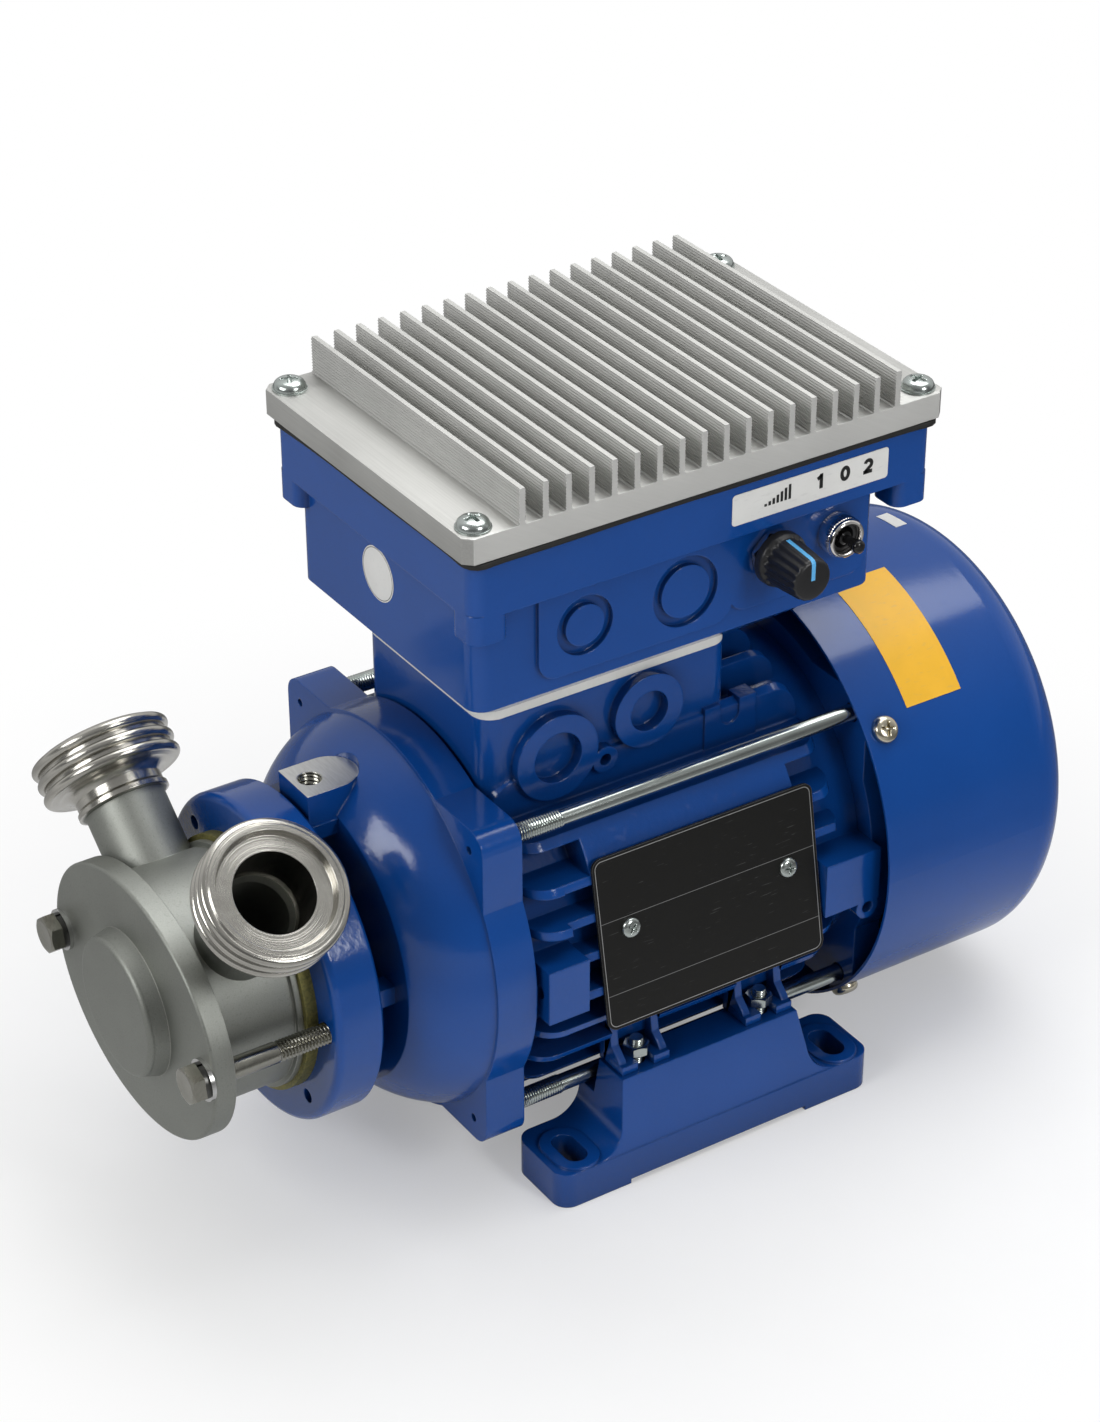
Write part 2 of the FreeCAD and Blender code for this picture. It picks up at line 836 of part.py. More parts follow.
def slinger():
    """Rubber ring on the shaft that throws off drips in the open lantern."""
    return turned([
        (slinger_y, seal_land_radius),
        (slinger_y, 15),
        (slinger_y + 1.2, 16.5),
        (slinger_y + 2.2, 16.5),
        (slinger_y + 3.2, 10.5),
        (slinger_y + 4.2, 10),
        (slinger_y + 4.2, seal_land_radius),
    ])


def races(outer):
    """Outer or inner rings of the two ball bearings."""
    rings = []
    for start in (front_bearing_y, rear_bearing_y):
        if outer:
            ring = tube(start, start + bearing_width, bearing_radius, race_outer_shoulder)
        else:
            ring = tube(start, start + bearing_width, race_inner_shoulder, bearing_bore_radius)
        centre = SHAFT + Vector(0, start + bearing_width / 2, 0)
        groove = Part.makeTorus(ball_circle, ball_radius + ball_clearance, centre, ALONG_Y)
        rings.append(ring.cut(groove))
    return group(rings)


def bearing_balls():
    """Balls of both bearings."""
    balls = []
    for start in (front_bearing_y, rear_bearing_y):
        for i in range(balls_per_bearing):
            arm = radial(360 / balls_per_bearing * i) * ball_circle
            centre = SHAFT + Vector(0, start + bearing_width / 2, 0) + arm
            balls.append(Part.makeSphere(ball_radius, centre))
    return group(balls)


def bearing_cages():
    """Flat cage ring of each bearing, with a pocket for each ball."""
    cages = []
    for start in (front_bearing_y, rear_bearing_y):
        middle = start + bearing_width / 2
        half = ball_radius + 0.6
        cage = tube(middle - half, middle + half, ball_circle + cage_half_thickness,
                    ball_circle - cage_half_thickness)
        for i in range(balls_per_bearing):
            arm = radial(360 / balls_per_bearing * i)
            foot = SHAFT + Vector(0, middle, 0) + arm * (ball_circle - 2)
            cage = cage.cut(Part.makeCylinder(ball_radius + 0.1, 4, foot, arm))
        cages.append(cage)
    return group(cages)


def preload_spring():
    """Wave spring behind the rear bearing, shown flat."""
    start = rear_bearing_y + bearing_width
    return tube(start, start + 1, bearing_radius - 0.3, race_outer_shoulder)


def stator_core():
    """Stack of stator laminations."""
    inner = rotor_radius + air_gap
    return tube(-stack_half_length, stack_half_length, core_radius - fit_clearance, inner)


def stator_windings():
    """End turns on both sides of the stack."""
    rings = []
    for sign in (-1, 1):
        near = sign * stack_half_length
        far = sign * (stack_half_length + winding_height)
        low, high = min(near, far), max(near, far)
        ring = turned([
            (low, winding_inner_radius),
            (low, winding_outer_radius - (4 if sign < 0 else 0)),
            (low + 4, winding_outer_radius),
            (high - 4, winding_outer_radius),
            (high, winding_outer_radius - (4 if sign > 0 else 0)),
            (high, winding_inner_radius),
        ])
        rings.append(ring)
    return group(rings)


def rotor_core():
    """Stack of rotor laminations."""
    return tube(-stack_half_length, stack_half_length, rotor_radius, rotor_seat_radius)


def rotor_end_rings():
    """Cast rings that close the rotor cage at both ends."""
    start = stack_half_length
    end = start + end_ring_width
    inner = rotor_seat_radius + 5
    rings = [tube(start, end, rotor_radius - 1, inner), tube(-end, -start, rotor_radius - 1, inner)]
    return group(rings)


def fins():
    """Level fins at the sides and upright ones above and below, cut to a round envelope."""
    turn = fin_end_round * (1 - math.sqrt(0.5))
    hull = turned([
        (fin_front_y, 0),
        (fin_front_y, fin_tip_radius - fin_end_round),
        (fin_front_y + turn, fin_tip_radius - turn, "arc"),
        (fin_front_y + fin_end_round, fin_tip_radius),
        (fin_rear_y - fin_end_round, fin_tip_radius),
        (fin_rear_y - turn, fin_tip_radius - turn, "arc"),
        (fin_rear_y, fin_tip_radius - fin_end_round),
        (fin_rear_y, 0),
    ])
    reach = fin_tip_radius + 1
    rows = []
    for i in range(fin_rows):
        z = shaft_height + (i - (fin_rows - 1) / 2) * fin_pitch
        row = block(-reach, reach, fin_front_y, fin_rear_y, z - fin_thickness / 2, z + fin_thickness / 2)
        rows.append(hull.common(row))
    for i in range(top_fin_columns):
        for sign in (-1, 1):
            x = sign * (top_fin_first_x + i * top_fin_pitch)
            column = block(x - fin_thickness / 2, x + fin_thickness / 2, fin_front_y, fin_rear_y,
                           shaft_height - reach, shaft_height + reach)
            rows.append(hull.common(column))
    pad = block(0, reach, nameplate_shift_y - nameplate_width / 2, plate_pad_rear_y,
                shaft_height + 2.5 * fin_pitch, shaft_height + 3.5 * fin_pitch)
    rows.append(hull.common(pad))
    return rows


def entry_boss(y, z, radius, sign):
    """Round boss of a cable entry on the side of the terminal base."""
    start = Vector(sign * (base_half_width - 6), y, z)
    return Part.makeCylinder(radius, 6 + entry_proud, start, ALONG_X * sign)


def entry_bore(y, z, radius, sign):
    """Blind bore of a cable entry."""
    start = Vector(sign * (base_half_width + entry_proud - entry_depth), y, z)
    return Part.makeCylinder(radius, entry_depth + 1, start, ALONG_X * sign)


def plate_frame(along, up, out):
    """Placement of a point on the tilted nameplate pad: along it, up it and out of it."""
    tilt = math.radians(plate_tilt)
    rise = Vector(-math.sin(tilt), 0, math.cos(tilt))
    normal = Vector(math.cos(tilt), 0, math.sin(tilt))
    return SHAFT + ALONG_Y * along + rise * up + normal * out


def on_plate(shape, out):
    """Shape drawn in the XY plane, laid on the nameplate pad at a distance out."""
    turn = FreeCAD.Rotation(ALONG_Y, ALONG_Z, ALONG_X, "XYZ")
    tilt = FreeCAD.Rotation(ALONG_Y, -plate_tilt)
    copy = shape.copy()
    copy.Placement = FreeCAD.Placement(plate_frame(0, 0, out), tilt.multiply(turn))
    return copy


def earth_point(sign, x):
    """Point on the axis of the earth screw boss under the rear side lug."""
    return Vector(sign * x, earth_boss_y, shaft_height - earth_boss_drop)


def notched_lug(sign):
    """Upright lug behind the terminal base, with a round-bottomed notch from above."""
    outer = top_fin_first_x + (top_fin_columns - 1) * top_fin_pitch + fin_thickness / 2
    x0, x1 = sorted((sign * (outer - notched_lug_width), sign * (outer + 0.6)))
    lug = block(x0, x1, notched_lug_front_y, notched_lug_rear_y, shaft_height + 34, notched_lug_top_z)
    x0, x1 = sorted((sign * (outer - notched_lug_width - 1), sign * (outer + 2)))
    gap = block(x0, x1, notch_y - notch_radius, notch_y + notch_radius, notch_z, notched_lug_top_z + 1)
    round_end = Part.makeCylinder(notch_radius, x1 - x0, Vector(x0, notch_y, notch_z), ALONG_X)
    return lug.cut([gap, round_end])


def motor_housing():
    """Finned frame with a terminal base, foot lugs, side lugs and a flat for the nameplate."""
    frame = drum(housing_front_y, housing_rear_y, housing_radius)
    rows = fins()
    cutter = on_plate(block(-45, 45, -33, 31, 0, 20), plate_distance)
    rows = [row.cut(cutter) for row in rows]
    base = slab(-base_half_width, base_half_width, base_front_y, base_rear_y,
                shaft_height + 30, base_top_z, base_corner)
    extras = [base]
    for sign in (-1, 1):
        extras.append(entry_boss(large_entry_y, large_entry_z, large_entry_radius, sign))
        extras.append(entry_boss(small_entry_y, small_entry_z, small_entry_radius, sign))
        test_boss = Vector(sign * (base_half_width - 6), test_boss_y, test_boss_z)
        extras.append(Part.makeCylinder(test_boss_radius, 6 + entry_proud, test_boss, ALONG_X * sign))
        extras.append(notched_lug(sign))
        x0, x1 = sorted((sign * 40, sign * side_lug_reach))
        low = shaft_height - side_lug_half_height
        high = shaft_height + side_lug_half_height
        extras.append(block(x0, x1, fin_front_y, fin_front_y + front_side_lug_length, low, high))
        lug_y = nameplate_shift_y + nameplate_width / 2 + rear_side_lug_gap
        extras.append(block(x0, x1, lug_y, housing_rear_y, low, high))
        extras.append(Part.makeCylinder(earth_boss_radius, side_lug_reach - 44,
                                        earth_point(sign, 44), ALONG_X * sign))
        x0, x1 = sorted((sign * 36, sign * foot_lug_reach))
        for y in (-stud_y, stud_y):
            leg = block(x0, x1, y - foot_lug_half_length, y + foot_lug_half_length,
                        ramp_top_z, foot_lug_bottom_z + foot_lug_height)
            p0, p1 = sorted((sign * (ramp_inner_x - 1), sign * (foot_lug_reach + 1)))
            pocket = block(p0, p1, y - foot_lug_pocket, y + foot_lug_pocket,
                           ramp_top_z - 1, foot_lug_bottom_z)
            i0, i1 = sorted((sign * 35, sign * (ramp_inner_x - 1)))
            inside = block(i0, i1, y - foot_lug_half_length - 1, y + foot_lug_half_length + 1,
                           ramp_top_z - 1, foot_lug_bottom_z)
            extras.append(leg.cut([pocket, inside]))
    body = joined([frame] + rows + extras)
    body = body.cut(drum(housing_front_y - 1, housing_rear_y + 1, core_radius))
    inner = base_half_width - base_wall
    well = slab(-inner, inner, base_front_y + base_wall + 3, base_rear_y - base_wall,
                base_floor_z, base_top_z + 1, base_corner - 2)
    posts = [Part.makeCylinder(post_radius, base_top_z - base_floor_z + 1, Vector(x, y, base_floor_z), ALONG_Z)
             for x, y in case_screw_places()]
    body = body.cut(well.cut(posts))
    for x, y in case_screw_places():
        start = Vector(x, y, base_top_z - post_hole_depth)
        hole = Part.makeCylinder(cowl_screw_radius + thread_clearance, post_hole_depth + 1, start, ALONG_Z)
        body = body.cut(hole)
    for sign in (-1, 1):
        body = body.cut(entry_bore(large_entry_y, large_entry_z, large_entry_bore, sign))
        body = body.cut(entry_bore(small_entry_y, small_entry_z, small_entry_bore, sign))
        start = Vector(sign * (base_half_width + entry_proud - entry_depth), test_boss_y, test_boss_z)
        body = body.cut(Part.makeCylinder(test_boss_bore, entry_depth + 1, start, ALONG_X * sign))
        body = body.cut(Part.makeCylinder(earth_boss_bore, 8, earth_point(sign, side_lug_reach - 7),
                                          ALONG_X * sign))
        for y in (-stud_y, stud_y):
            start = Vector(sign * stud_x, y, foot_lug_bottom_z - 1)
            hole = Part.makeCylinder(stud_radius + thread_clearance, 7, start, ALONG_Z)
            body = body.cut(hole)
        hole_y = fin_front_y + 9
        body = body.cut(drum(fin_front_y - 1, hole_y, side_lug_hole_radius, sign * 56.5))
    for y in (-nameplate_screw_pitch / 2, nameplate_screw_pitch / 2):
        bottom = plate_frame(y + nameplate_shift_y, 0, plate_distance - 5)
        normal = plate_frame(0, 0, 1) - plate_frame(0, 0, 0)
        hole = Part.makeCylinder(nameplate_screw_radius + thread_clearance, 6, bottom, normal)
        body = body.cut(hole)
    return body


def rear_shield():
    """Rear bearing shield with lugs for the tie rods and pads for the cowl screws."""
    reach = cowl_radius - cowl_wall - fit_clearance
    plate = shield_plate(housing_rear_y, rear_shield_end_y, rear_shield_radius, lug_half_width,
                         lug_corner, reach)
    spigot = tube(housing_rear_y - 4, housing_rear_y + 1, core_radius - fit_clearance, core_radius - 3)
    hub_end = rear_bearing_y + bearing_width + 4
    hub = drum(housing_rear_y, hub_end, rear_hub_radius)
    pads = []
    for angle in cowl_angles():
        arm = radial(angle)
        start = SHAFT + Vector(0, cowl_screw_y, 0) + arm * (reach - 16)
        pad = Part.makeCylinder(cowl_pad_radius, 17, start, arm)
        pads.append(pad.common(drum(housing_rear_y, rear_shield_end_y, reach)))
    body = joined([plate, spigot, hub] + pads)
    body = body.cut(tube(housing_rear_y - 1, housing_rear_y + 4, core_radius - 3, rear_hub_radius))
    body = body.cut(drum(housing_rear_y - 1, rear_bearing_y, bearing_radius - 2))
    body = body.cut(drum(rear_bearing_y - 1, rear_bearing_y + bearing_width + 1, bearing_radius + 0.02))
    body = body.cut(drum(hub_end - 5, hub_end + 1, bearing_bore_radius + 1))
    for x, z in rod_places():
        hole = rod_radius + rod_hole_clearance
        body = body.cut(drum(housing_rear_y - 1, rear_shield_end_y + 1, hole, x, z))
    for angle in cowl_angles():
        arm = radial(angle)
        start = SHAFT + Vector(0, cowl_screw_y, 0) + arm * (reach - 9)
        body = body.cut(Part.makeCylinder(cowl_screw_radius + thread_clearance, 12, start, arm))
    return body


def cowl_angles():
    """Angles of the four cowl screws round the shaft."""
    return [cowl_screw_angle + 90 * i for i in range(4)]


def dome(radius, straight_end, rear, flat, front):
    """Solid cup: a straight drum that ends in a quarter ellipse and a flat rear face."""
    length = rear - straight_end
    height = radius - flat
    turn = math.sqrt(0.5)
    centre = Vector(flat, straight_end, 0)
    if height > length:
        curve = Part.Ellipse(centre + Vector(height, 0, 0), centre + Vector(0, length, 0), centre)
    else:
        curve = Part.Ellipse(centre + Vector(0, length, 0), centre + Vector(height, 0, 0), centre)
    start = Vector(radius, straight_end, 0)
    end = Vector(flat, rear, 0)
    params = sorted((curve.parameter(start), curve.parameter(end)))
    if params[1] - params[0] > math.pi:
        params = [params[1], params[0] + 2 * math.pi]
    arc = Part.ArcOfEllipse(curve, params[0], params[1]).toShape()
    sides = [
        Part.LineSegment(Vector(0, front, 0), Vector(radius, front, 0)).toShape(),
        Part.LineSegment(Vector(radius, front, 0), start).toShape(),
        arc,
        Part.LineSegment(end, Vector(0, rear, 0)).toShape(),
        Part.LineSegment(Vector(0, rear, 0), Vector(0, front, 0)).toShape(),
    ]
    face = Part.Face(Part.Wire(Part.__sortEdges__(sides)))
    face.translate(SHAFT)
    return face.revolve(SHAFT, ALONG_Y, 360)


def fan_cowl():
    """Domed cowl with ring slots in its rear face for the cooling air."""
    outside = dome(cowl_radius, cowl_straight_end_y, cowl_rear_y, cowl_flat_radius, cowl_front_y)
    inside = dome(cowl_radius - cowl_wall, cowl_straight_end_y, cowl_rear_y - cowl_wall,
                  cowl_flat_radius, cowl_front_y - 1)
    cowl = outside.cut(inside)
    spokes = []
    for i in range(grille_spokes // 2):
        bar = block(-80, 80, cowl_straight_end_y, cowl_rear_y + 5,
                    -grille_spoke_width / 2, grille_spoke_width / 2)
        bar.translate(SHAFT)
        spokes.append(swung(bar, i * 360 / grille_spokes))
    for i in range(grille_rings):
        inner = grille_first_radius + i * (grille_slot + grille_land)
        ring = tube(cowl_rear_y - 4, cowl_rear_y + 1, inner + grille_slot, inner)
        cowl = cowl.cut(ring.cut(spokes))
    for angle in cowl_angles():
        arm = radial(angle)
        start = SHAFT + Vector(0, cowl_screw_y, 0) + arm * (cowl_radius - 6)
        cowl = cowl.cut(Part.makeCylinder(cowl_screw_radius + 0.2, 12, start, arm))
    return cowl


def pan_screw(centre, direction, shank_radius, reach, head_radius, head_height, under=0.0):
    """Screw with a rounded head; the head's underside is at the centre."""
    edge = head_height * 0.7
    turn = edge * (1 - math.sqrt(0.5))
    top = under + head_height
    points = [
        (-reach, 0),
        (-reach, shank_radius),
        (under, shank_radius),
        (under, head_radius),
        (top - edge, head_radius),
        (top - turn, head_radius - turn, "arc"),
        (top, head_radius - edge),
        (top, 0),
    ]
    return spun(points, centre, direction)


def cowl_screws():
    """Four screws through the cowl."""
    screws = []
    for angle in cowl_angles():
        centre = SHAFT + Vector(0, cowl_screw_y, 0) + radial(angle) * cowl_radius
        screws.append(pan_screw(centre, radial(angle), cowl_screw_radius, 9, 4.0, 2.6, 0.1))
    return group(screws)


def fan():
    """Radial fan: hub, disc and straight blades."""
    start = fan_front_y
    end = start + fan_disc_thickness + fan_blade_height
    parts = [drum(start, start + fan_disc_thickness, fan_radius), drum(start, end, fan_hub_radius)]
    blade = block(fan_blade_inner_radius, fan_radius - 0.5, start + 1, end,
                  -fan_blade_thickness / 2, fan_blade_thickness / 2)
    blade.translate(SHAFT)
    for i in range(fan_blades):
        parts.append(swung(blade, i * 360 / fan_blades))
    return joined(parts).cut(drum(start - 1, end + 1, fan_seat_radius))


def fan_clip():
    """Snap ring that holds the fan on the shaft."""
    start = fan_front_y + fan_disc_thickness + fan_blade_height + 1.05
    ring = tube(start, start + 1, fan_seat_radius + 2.6, fan_seat_radius - 0.4)
    z = shaft_height
    return ring.cut(block(-2.2, 2.2, start - 1, start + 2, z, z + 12))


def foot(sign):
    """Foot with two slotted pads and a ramp block between them."""
    half = foot_length / 2
    x0, x1 = foot_inner_x, foot_outer_x
    top = foot_pad_z - foot_pad_raise
    plate = slab(x0, x1, -half, half, 0, top, foot_corner)
    slope = outline([
        (x0, top - 4),
        (x1, top - 4),
        (x1, top - 2),
        (ramp_top_outer_x, ramp_top_z),
        (ramp_inner_x, ramp_top_z),
        (ramp_inner_x, ramp_shoulder_z),
        (x0, ramp_shoulder_z),
    ]).extrude(Vector(0, 0, 2 * half))
    slope.rotate(Vector(), ALONG_X, 90)
    slope.translate(Vector(0, half, 0))
    foot_of_ramp = ramp_half_length + 4 * (ramp_half_length - ramp_top_half_length) / (ramp_top_z - top)
    ends = outline([
        (-foot_of_ramp, top - 4),
        (foot_of_ramp, top - 4),
        (ramp_top_half_length, ramp_top_z),
        (-ramp_top_half_length, ramp_top_z),
    ]).extrude(Vector(0, 0, x1 + 1))
    ends.Placement = FreeCAD.Placement(Vector(), FreeCAD.Rotation(ALONG_Y, ALONG_Z, ALONG_X, "XYZ"))
    body = joined([plate, slope.common(ends)])
    root = [e for e in body.Edges
            if abs(e.BoundBox.ZMin - top) < 0.01 and abs(e.BoundBox.ZMax - top) < 0.01
            and e.BoundBox.YLength < 0.01 and abs(abs(e.BoundBox.YMin) - ramp_half_length) < 0.1]
    body = body.makeFillet(ramp_root_round, root)
    extras = []
    for y in (-foot_slot_span_y / 2, foot_slot_span_y / 2):
        grow = foot_pad_margin
        extras.append(slot_column(foot_slot_span_x / 2, y, foot_slot_length + 2 * grow,
                                  foot_slot_width + 2 * grow, top - 1, foot_pad_z))
    body = joined([body] + extras)
    for y in (-foot_slot_span_y / 2, foot_slot_span_y / 2):
        body = body.cut(slot_column(foot_slot_span_x / 2, y, foot_slot_length, foot_slot_width,
                                    -1, foot_pad_z + 1))
    relief = ramp_half_length - 3
    body = body.cut(block(x0 - 1, x1 + 1, -relief, relief, -1, foot_relief))
    body = body.cut(block(x0 + 6, x1 - 6, -relief - 1, relief + 1, -1, ramp_top_z - 18))
    for y in (-stud_y, stud_y):
        start = Vector(stud_x, y, ramp_top_z - stud_reach)
        body = body.cut(Part.makeCylinder(stud_radius + thread_clearance, stud_reach + 1, start, ALONG_Z))
    if sign < 0:
        body = body.mirror(Vector(), ALONG_X)
    return body


def slot_column(x, y, length, width, z0, z1):
    """Upright column with the outline of a slot that runs along X."""
    half = (length - width) / 2
    radius = width / 2
    face = outline([
        (x - half, y - radius),
        (x + half, y - radius),
        (x + half + radius, y, "arc"),
        (x + half, y + radius),
        (x - half, y + radius),
        (x - half - radius, y, "arc"),
    ])
    column = face.extrude(Vector(0, 0, z1 - z0))
    column.translate(Vector(0, 0, z0))
    return column


def stud_places():
    """Places of the four foot studs."""
    return [(x, y) for x in (-stud_x, stud_x) for y in (-stud_y, stud_y)]


def foot_studs():
    """Studs from the feet up into the housing lugs."""
    start = ramp_top_z - stud_reach + 0.5
    end = foot_lug_bottom_z + 5.5
    return group([Part.makeCylinder(stud_radius, end - start, Vector(x, y, start), ALONG_Z)
                  for x, y in stud_places()])


def foot_nuts():
    """Nuts locked against the housing lugs."""
    nuts = []
    for x, y in stud_places():
        base = Vector(x, y, foot_lug_bottom_z - foot_nut_height)
        nut = hexagon(foot_nut_flats, foot_nut_height, base, ALONG_Z)
        hole = Part.makeCylinder(stud_radius + thread_clearance, foot_nut_height + 2,
                                 base - ALONG_Z, ALONG_Z)
        nuts.append(nut.cut(hole))
    return group(nuts)


def adapter_plate():
    """Flat plate between the terminal base and the controller case, open in the middle."""
    w = base_half_width
    plate = slab(-w, w, base_front_y, base_rear_y, base_top_z, case_base_z, base_corner)
    inner = base_half_width - base_wall - 6
    plate = plate.cut(slab(-inner, inner, base_front_y + 14, base_rear_y - 12,
                           base_top_z - 1, case_base_z + 1, 3))
    for x, y in case_screw_places():
        start = Vector(x, y, base_top_z - 1)
        hole = Part.makeCylinder(cowl_screw_radius + 0.3, adapter_thickness + 2, start, ALONG_Z)
        plate = plate.cut(hole)
    return plate


def case_screw_places():
    """Places of the four screws that hold the case on the terminal base."""
    x = base_half_width - 8
    return [(sx, y) for sx in (-x, x) for y in (base_front_y + 8.5, base_rear_y - 7)]


def lid_screw_places():
    """Places of the four lid screws."""
    x = lid_half_width - lid_screw_inset
    return [(case_centre_x + sx, y) for sx in (-x, x)
            for y in (lid_front_y + lid_screw_inset, lid_rear_y - lid_screw_inset)]


def knockout(y, radius, grow=0.0):
    """Ring groove round a blind knockout in the side panel."""
    start = Vector(panel_face_x - knockout_depth, y, knockout_z)
    outer = Part.makeCylinder(radius, knockout_depth + 2, start, ALONG_X)
    return outer.cut(Part.makeCylinder(radius - knockout_groove, knockout_depth + 2, start, ALONG_X))


def inverter_case():
    """Open-topped case: tapered skirt, box, raised side panel, rim and corner bosses."""
    cx = case_centre_x
    w = case_half_width
    foot_face = slab(-base_half_width, base_half_width, base_front_y, base_rear_y, 0, 1, base_corner)
    lower = [f for f in foot_face.Faces if abs(f.CenterOfMass.z) < 1e-6][0].OuterWire
    box = slab(cx - w, cx + w, case_front_y, case_rear_y, case_bottom_z, rim_bottom_z + 1, case_corner)
    upper = [f for f in box.Faces if abs(f.CenterOfMass.z - case_bottom_z) < 1e-6][0].OuterWire
    lower.translate(Vector(0, 0, case_base_z))
    skirt = Part.makeLoft([lower, upper], True)
    rim = slab(cx - rim_half_width, cx + rim_half_width, rim_front_y, rim_rear_y,
               rim_bottom_z, rim_top_z, rim_corner)
    panel = slab_side(panel_front_y, panel_split_y, panel_bottom_z, rim_bottom_z + 1)
    controls = slab_side(panel_split_y - 1, case_rear_y - 4, panel_bottom_z + 1.5, rim_bottom_z + 1)
    parts = [skirt, box, rim, panel, controls]
    for x, y in lid_screw_places():
        sx = 1 if x > cx else -1
        sy = 1 if y > 0 else -1
        ex = cx + sx * rim_half_width
        ey = rim_rear_y if sy > 0 else rim_front_y
        x0, x1 = sorted((ex, ex - sx * boss_size))
        y0, y1 = sorted((ey, ey - sy * boss_size))
        parts.append(slab(x0, x1, y0, y1, boss_bottom_z, rim_bottom_z + 1, 3.5))
    body = joined(parts)
    t = case_wall
    cavity = slab(cx - w + t, cx + w - t, case_front_y + t, case_rear_y - t,
                  case_bottom_z + case_floor, rim_top_z + 1, case_corner - 2)
    body = body.cut(cavity)
    throat = base_half_width - base_wall - 6
    body = body.cut(slab(-throat, throat, base_front_y + 14, base_rear_y - 12,
                         case_base_z - 1, case_bottom_z + case_floor + 1, 3))
    body = body.cut(knockout(large_knockout_y, large_knockout_radius))
    body = body.cut(knockout(small_knockout_y, small_knockout_radius))
    reach = case_wall + panel_proud + 4
    inside = panel_inner_x - 2
    for y, z, r in ((knob_y, knob_z, bushing_radius), (switch_y, switch_z, switch_bushing_radius)):
        body = body.cut(Part.makeCylinder(r + 0.1, reach, Vector(inside, y, z), ALONG_X))
    for x, y in lid_screw_places():
        start = Vector(x, y, rim_top_z - lid_screw_reach + gasket_thickness)
        hole = lid_screw_radius + thread_clearance
        body = body.cut(Part.makeCylinder(hole, lid_screw_reach + 2, start, ALONG_Z))
    for x, y in case_screw_places():
        start = Vector(x, y, case_base_z - 1)
        body = body.cut(Part.makeCylinder(cowl_screw_radius + 0.3, 30, start, ALONG_Z))
    return body


def slab_side(y0, y1, z0, z1):
    """Raised panel on the +X side of the case, with rounded lower corners."""
    box = block(case_centre_x + case_half_width - 2, panel_face_x, y0, y1, z0, z1)
    low = [e for e in box.Edges
           if abs(e.tangentAt(e.FirstParameter).x) > 0.9 and e.BoundBox.ZMax < z0 + 0.01]
    return box.makeFillet(6, low)


def case_screws():
    """Screws from inside the case down through the adapter plate."""
    screws = []
    for x, y in case_screw_places():
        centre = Vector(x, y, case_bottom_z + case_floor)
        reach = case_bottom_z + case_floor - base_top_z + 8
        screws.append(pan_screw(centre, ALONG_Z, cowl_screw_radius, reach, 4.0, 2.6))
    return group(screws)


def lid_gasket():
    """Rubber gasket between rim and lid; its corners stick out."""
    cx = case_centre_x
    w = rim_half_width + 1.2
    front, rear = rim_front_y - 1.2, rim_rear_y + 1.2
    gasket = slab(cx - w, cx + w, front, rear, rim_top_z, lid_bottom_z, 1.0)
    inner = case_half_width - case_wall
    gasket = gasket.cut(slab(cx - inner, cx + inner, case_front_y + case_wall,
                             case_rear_y - case_wall, rim_top_z - 1, lid_bottom_z + 1, 3))
    for x, y in lid_screw_places():
        start = Vector(x, y, rim_top_z - 1)
        hole = Part.makeCylinder(lid_screw_radius + 0.2, gasket_thickness + 2, start, ALONG_Z)
        gasket = gasket.cut(hole)
    return gasket


def heat_sink_lid():
    """Plate with cut corners and a row of upright cooling fins across it."""
    cx = case_centre_x
    c = lid_chamfer
    x0, x1 = cx - lid_half_width, cx + lid_half_width
    y0, y1 = lid_front_y, lid_rear_y
    plate = outline([
        (x0 + c, y0), (x1 - c, y0), (x1, y0 + c), (x1, y1 - c),
        (x1 - c, y1), (x0 + c, y1), (x0, y1 - c), (x0, y0 + c),
    ]).extrude(Vector(0, 0, lid_thickness))
    plate.translate(Vector(0, 0, lid_bottom_z))
    middle = (y0 + y1) / 2
    half = lid_half_width - sink_fin_inset
    rows = []
    for i in range(sink_fins):
        y = middle + (i - (sink_fins - 1) / 2) * sink_fin_pitch
        rows.append(block(cx - half, cx + half, y - sink_fin_thickness / 2, y + sink_fin_thickness / 2,
                          lid_top_z - 0.5, lid_top_z + sink_fin_height))
    lid = joined([plate] + rows)
    for x, y in lid_screw_places():
        start = Vector(x, y, lid_bottom_z - 1)
        lid = lid.cut(Part.makeCylinder(lid_screw_radius + 0.3, lid_thickness + 2, start, ALONG_Z))
    return lid


def lid_screws():
    """Four pan-head screws at the corners of the lid."""
    reach = lid_thickness + lid_screw_reach - 2
    return group([pan_screw(Vector(x, y, lid_top_z), ALONG_Z, lid_screw_radius, reach,
                              lid_screw_head_radius, lid_screw_head_height)
                  for x, y in lid_screw_places()])


def board_top_z():
    """Height of the circuit board's upper face."""
    return lid_bottom_z - board_drop


def inverter_board():
    """Circuit board hung under the lid."""
    top = board_top_z()
    return block(-board_half_width, board_half_width, board_front_y, board_rear_y,
                 top - board_thickness, top)


def board_spacers():
    """Posts between the lid and the board."""
    places = [(x, y) for x in (-board_half_width + 5, board_half_width - 5)
              for y in (board_front_y + 5, board_rear_y - 5)]
    return group([Part.makeCylinder(spacer_radius, board_drop, Vector(x, y, board_top_z()), ALONG_Z)
                  for x, y in places])


def power_module():
    """Power stage clamped between board and lid, where it gives off its heat."""
    return block(-module_half_width, module_half_width, -module_half_length, module_half_length,
                 board_top_z(), lid_bottom_z)


def capacitors():
    """Three capacitors that hang from the board."""
    bottom = board_top_z() - board_thickness - capacitor_height
    return group([Part.makeCylinder(capacitor_radius, capacitor_height,
                                    Vector(-22, -38 + i * capacitor_pitch, bottom), ALONG_Z)
                  for i in range(3)])


